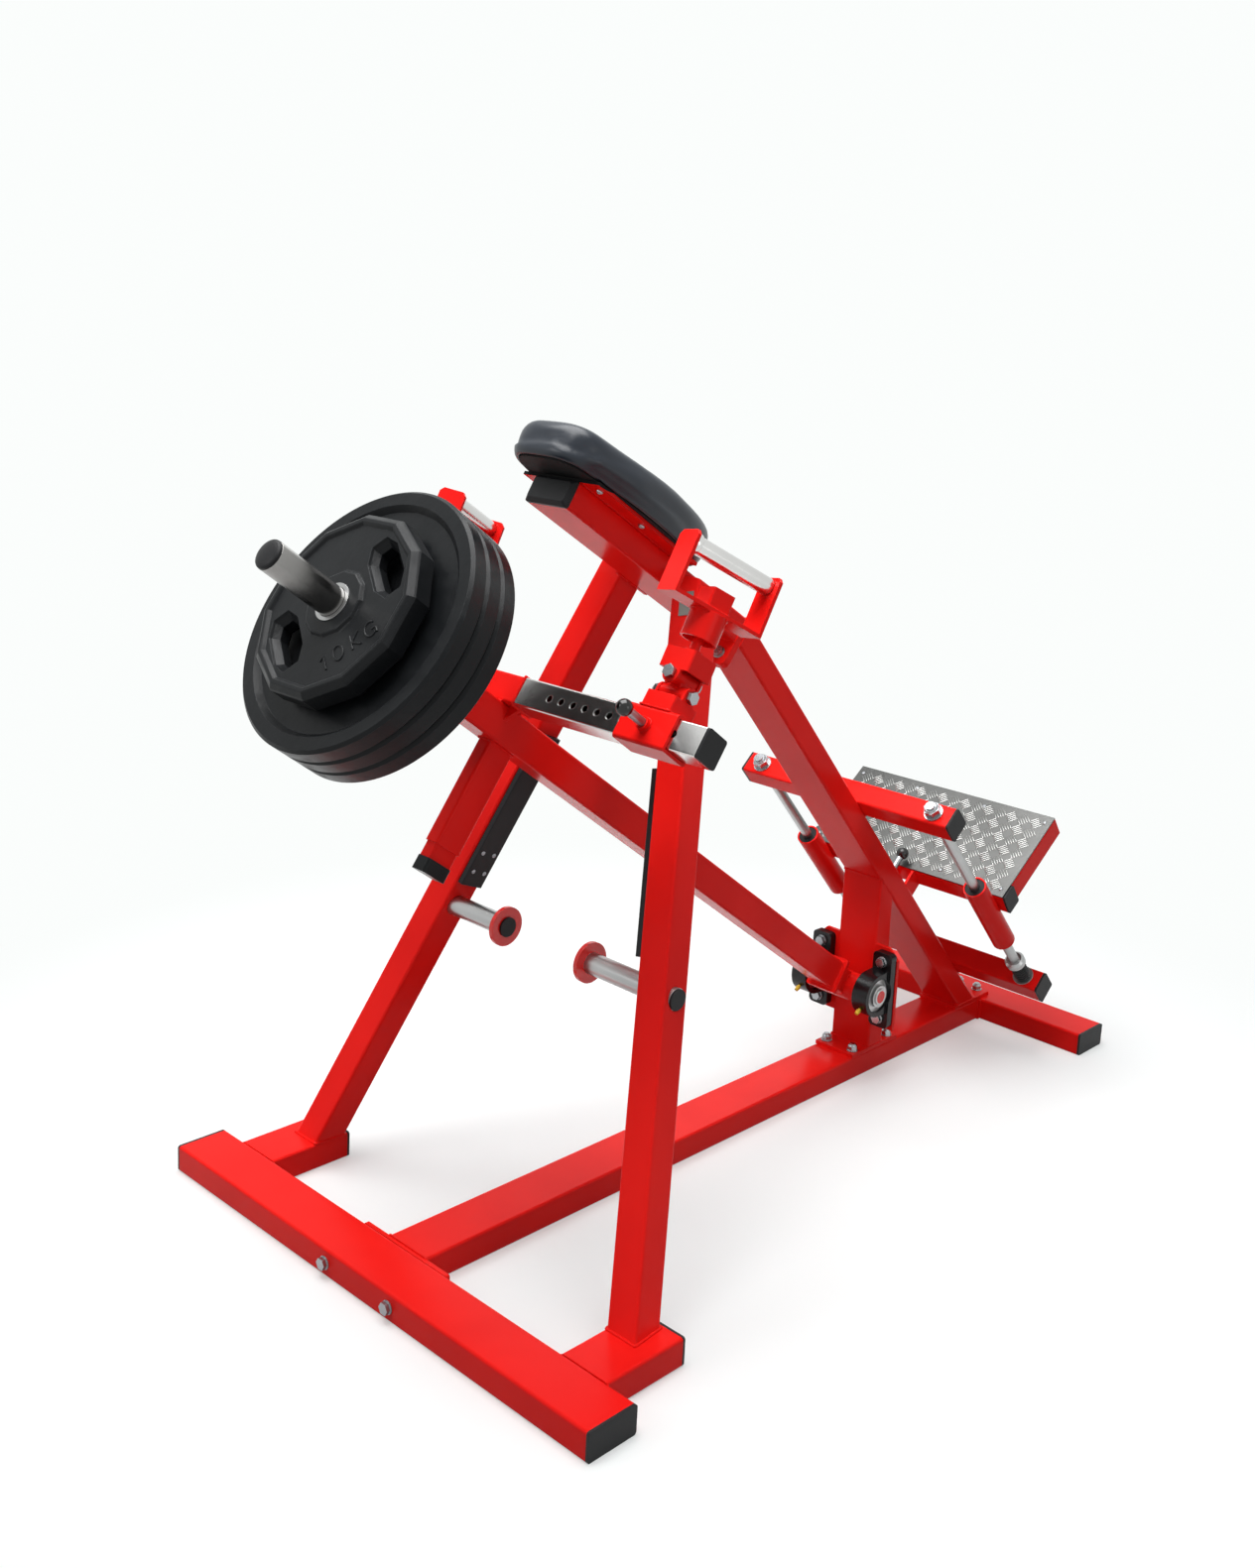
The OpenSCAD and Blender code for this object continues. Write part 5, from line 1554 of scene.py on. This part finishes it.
    def _spine(self) -> None:
        """Beads of the flange plates at both ends of the spine."""
        side, top, bend = FLAT_HALF + 0.3, FLAT_HIGH + 0.3, FLAT_HALF - 2.0
        over = [(-side, 4.0), (-side, FLAT_HIGH - 1.0), (-bend, top), (bend, top),
                (side, FLAT_HIGH - 1.0), (side, 4.0)]
        for y in self.spine_ends:
            self._bead([WORLD.point(x, y, z) for x, z in over], size=Bead.THIN)

    def _lever(self) -> None:
        """Beads of the lever arm, its rail and the stop leg."""
        for y in (-self.arm_run[0] - self.off, self.off - self.arm_run[1]):
            self._bead([LEVER.point(x, y, z) for x, z in square(ARM_HALF)], "lever", True)
        for x in (-self.rail_middle, self.rail_middle):
            ring = [LEVER.point(x, -RAIL_AT + y, RAIL_N + z) for y, z in square(RAIL_HALF)]
            self._bead(ring, "lever", True, Bead.FULL)
        for y in (-RAIL_HALF - 0.3, RAIL_HALF + 0.3):
            ends = (1.0 - ARM_HALF, ARM_HALF - 1.0)
            self._bead([LEVER.point(x, -RAIL_AT + y, ARM_HALF + 0.2) for x in ends], "lever")
        stop = [LEVER.point(x, -self.stop_at + y, -ARM_HALF - self.off)
                for x, y in oblong(*self.stop_half)]
        self._bead(stop, "lever", True)

    def _handles(self) -> None:
        """Beads of the sleeves and the handle brackets."""
        turn = [2 * math.pi * k / 24 for k in range(24)]
        sweep = [math.radians(v) for v in range(-56, 57, 8)]
        for side, (name, at, _, _) in HANDLES.items():
            top = RAIL_N + self.sleeve_half + self.off
            box = [LEVER.point(side * at + x, -RAIL_AT + y, top) for x, y in square(self.link_half)]
            self._bead(box, f"sleeve_{name}", True, Bead.SLIM)
            front = -RAIL_AT - self.sleeve_half - self.off
            boss = [LEVER.point(side * at + self.boss_round * math.cos(a), front,
                                RAIL_N + self.boss_round * math.sin(a)) for a in turn]
            self._bead(boss, f"sleeve_{name}", True, Bead.BOSS)
            swivel = swivel_place(side)
            for end in (1, -1):
                arc = [swivel.point(self.collar_round * math.sin(a),
                                    end * self.collar_round * math.cos(a), BASE_LOW - self.off)
                       for a in sweep]
                self._bead(arc, f"bracket_{name}", size=Bead.SLIM)
            block = [swivel.point(x, y, self.base_top) for x, y in square(self.block_half)]
            self._bead(block, f"bracket_{name}", True, Bead.SLIM)


# ------------------------------------------------------------------ studio


@dataclass(frozen=True)
class Lamp:
    """A square soft lamp that is turned to the machine.

    Attributes:
        name: Its name.
        spot: Its place.
        size: Length of its sides.
        power: Its power in watts.
    """

    name: str
    spot: tuple[float, float, float]
    size: float
    power: float


@dataclass
class Studio:
    """Floor, backdrop, lamps and camera. Lengths are in metres.

    Attributes:
        azimuth: Turn of the camera about the machine, in radians.
        elevation: Its tilt down.
        roll: Its turn about its own axis.
        eye: Its place.
        focal: Focal length in pixels.
        picture: Width and height of the render, in pixels.
        centre: Pixel at which the camera's axis meets it.
        centre_y: How far behind the front tube the machine's middle is.
        fade: Distances from there between which the floor turns into the backdrop.
        glow: Share of the floor near the machine that is plain white.
        floor_seen: Colour of the floor as it is seen.
        floor_bounce: Colour of the light that it throws back.
        sky: Colour of the soft light from all sides.
        sky_power: Its strength.
        sensor: Width of the camera's sensor, in millimetres.
        aim: Point that the lamps are turned to.
        lamps: The lamps.
    """

    azimuth: float = 0.764
    elevation: float = 0.199
    roll: float = 0.048
    eye: tuple[float, float, float] = (1.99929, -1.56595, 1.61362)
    focal: float = 1689.667
    picture: tuple[int, int] = (1265, 1581)
    centre: tuple[float, float] = (632.725, 649.82)
    centre_y: float = 0.9
    fade: tuple[float, float] = (1.0, 1.9)
    glow: float = 0.35
    floor_seen: Colour = (0.93, 0.94, 0.93)
    floor_bounce: Colour = (0.30, 0.30, 0.30)
    sky: Colour = (0.90, 0.94, 1.0)
    sky_power: float = 0.26
    sensor: float = 36.0
    aim: tuple[float, float, float] = (0.0, 0.7, 0.7)
    lamps: tuple[Lamp, ...] = (
        Lamp("key", (-1.6, -3.4, 3.0), 1.4, 29.0),
        Lamp("top", (-0.3, 0.2, 4.2), 3.2, 230.0),
        Lamp("side", (4.4, 0.4, 1.8), 1.6, 16.0),
        Lamp("back", (-3.0, 4.2, 3.0), 2.2, 11.0),
    )

    def make(self) -> None:
        """Sets the whole studio up."""
        self._floor()
        self._world()
        self._lights()
        self._camera()

    def _floor(self) -> None:
        """Pale floor that fades into the backdrop and keeps the shadow."""
        data = solid("floor", [Vector(p) for p in ((-9, -9, 0), (9, -9, 0), (9, 9, 0), (-9, 9, 0))],
                     [(0, 1, 2, 3)], False)
        floor = bpy.data.objects.new("floor", data)
        bpy.context.scene.collection.objects.link(floor)
        material = bpy.data.materials.new("mat_floor")
        material.use_nodes = True
        graph = Graph(material.node_tree)
        shader = material.node_tree.nodes["Principled BSDF"]
        shader.inputs["Roughness"].default_value = 0.9
        where = graph.node("ShaderNodeTexCoord", out="Object")
        x, y = where.part("X"), where.part("Y") - self.centre_y
        far = ((x * x + y * y) ** 0.5).ramp(*self.fade)
        seen = graph.seen_directly()
        graph.plug(seen.blend(self.floor_bounce, self.floor_seen), shader.inputs["Base Color"])
        white = graph.node("ShaderNodeEmission", sockets={"Color": BACKDROP})
        share = (far * (1.0 - self.glow) + self.glow) * seen
        mix = graph.node("ShaderNodeMixShader", sockets={0: share, 2: white})
        tree = material.node_tree
        tree.links.new(shader.outputs[0], mix.node.inputs[1])
        out = next(node for node in tree.nodes if node.type == "OUTPUT_MATERIAL")
        graph.plug(mix, out.inputs["Surface"])
        data.materials.append(material)

    def _world(self) -> None:
        """Soft light from all sides, seen as the white backdrop."""
        world = bpy.data.worlds.new("studio")
        bpy.context.scene.world = world
        world.use_nodes = True
        world.node_tree.nodes.clear()
        graph = Graph(world.node_tree)
        soft = graph.node("ShaderNodeBackground",
                          sockets={"Color": self.sky, "Strength": self.sky_power})
        white = graph.node("ShaderNodeBackground", sockets={"Color": BACKDROP, "Strength": 1.0})
        mix = graph.node("ShaderNodeMixShader",
                         sockets={0: graph.seen_directly(), 1: soft, 2: white})
        out = world.node_tree.nodes.new("ShaderNodeOutputWorld")
        graph.plug(mix, out.inputs["Surface"])

    def _lights(self) -> None:
        """Sets the lamps up round the machine."""
        for lamp in self.lamps:
            light = bpy.data.lights.new(lamp.name, "AREA")
            light.size = lamp.size
            light.energy = lamp.power
            stand = bpy.data.objects.new(lamp.name, light)
            stand.location = lamp.spot
            towards = Vector(self.aim) - Vector(lamp.spot)
            stand.rotation_euler = towards.to_track_quat("-Z", "Y").to_euler()
            bpy.context.scene.collection.objects.link(stand)

    def _camera(self) -> None:
        """Camera at its place, turned a little about its own axis."""
        flat = math.cos(self.elevation)
        back = Vector((math.sin(self.azimuth) * flat, -math.cos(self.azimuth) * flat,
                       math.sin(self.elevation)))
        right = Vector((math.cos(self.azimuth), math.sin(self.azimuth), 0.0))
        up = back.cross(right)
        turned = right * math.cos(self.roll) + up * math.sin(self.roll)
        top = up * math.cos(self.roll) - right * math.sin(self.roll)
        data = bpy.data.cameras.new("camera")
        data.sensor_fit = "AUTO"
        data.sensor_width = self.sensor
        data.lens = self.focal * self.sensor / self.picture[1]
        data.shift_x = (self.picture[0] / 2 - self.centre[0]) / self.picture[1]
        data.shift_y = (self.centre[1] - self.picture[1] / 2) / self.picture[1]
        camera = bpy.data.objects.new("camera", data)
        turn = Matrix((turned, top, back)).transposed().to_4x4()
        camera.matrix_world = Matrix.Translation(self.eye) @ turn
        scene = bpy.context.scene
        scene.collection.objects.link(camera)
        scene.camera = camera
        scene.view_settings.view_transform = "Standard"


@dataclass(frozen=True)
class PaintEdges:
    """Where the finish changes on nodes that show two. Sizes are in millimetres.

    Attributes:
        peg_paint: Distance from the middle within which the pegs' painted discs lie.
        shaft_paint: Radius of the painted end faces of the shaft.
        pin_ball: Radius of the balls on the pull pins.
        pin_reach: Distance of a sleeve pin's ball from the rail's middle.
        plate_foot: Height over the beam's underside at which the pad's plate starts.
        plate_shade_reach: Radius of the zone of painted shade on the plate's front edge, under the
            cushion.
    """

    peg_paint: float = 112.5
    shaft_paint: float = 13.5
    pin_ball: float = 13.9
    pin_reach: float = 88.0
    plate_foot: float = 50.2
    plate_shade_reach: float = 150.0

    def zones(self) -> dict[str, tuple[str, str, Zone]]:
        """Finds the nodes with two finishes, and the beam, whose plate takes painted shade.

        Returns:
            The outer finish, the inner one and where it shows, by node.
        """
        across, along = (1.0, 0.0, 0.0), (0.0, 1.0, 1.0)
        # Painted shade: the front edge of the pad's plate, under the cushion's nose, takes the
        # black of the board
        front = BEAM.point(0.0, 0.0, self.plate_foot + self.plate_shade_reach)
        found = {
            "storage_pegs": ("steel", "red_paint",
                             Zone((0.0, 0.0, 0.0), across, self.peg_paint * MM)),
            "pivot_shaft": ("steel", "red_paint",
                            Zone(tuple(PIVOT * MM), along, self.shaft_paint * MM)),
            "beam": ("red_paint", "board", Zone(tuple(front), along, self.plate_shade_reach * MM)),
        }
        balls = {"platform_pin": STRUT.point(0.0, *LOCK_AT)}
        for side, (name, at, *_) in HANDLES.items():
            balls[f"sleeve_pin_{name}"] = LEVER.point(side * at, -RAIL_AT - self.pin_reach, RAIL_N)
        for node, ball in balls.items():
            zone = Zone(tuple(ball), (1.0, 1.0, 1.0), self.pin_ball * MM)
            found[node] = ("zinc", "pin_ball", zone)
        return found


def paint_frame(paints: Paintbox) -> None:
    """Gives every CAD node the material of its slot, or what it shows instead.

    Args:
        paints: Maker of the materials.
    """
    slots = {entry["node"]: entry["material_slot"] for entry in frame["record"]["subparts"]}
    mixed = PaintEdges().zones()
    for name, node in frame["nodes"].items():
        node.data.materials.clear()
        if name in mixed:
            outer, inner, zone = mixed[name]
            node.data.materials.append(paints.split(name, outer, inner, zone))
        else:
            node.data.materials.append(paints.get(OWN_FINISH.get(name, slots[name])))
    LOG.info("%d nodes painted", len(frame["nodes"]))


def main() -> None:
    """Builds the looks of the whole machine."""
    logging.basicConfig(level=logging.INFO)
    paints = Paintbox()
    build = Build(paints)
    paint_frame(paints)
    for assembly in (ChestPad(build), Tread(build), SmallHardware(build), SmallPlate(build),
                     Welds(build), Studio()):
        assembly.make()
        LOG.info("%s done", type(assembly).__name__)


if __name__ == "__main__":
    main()
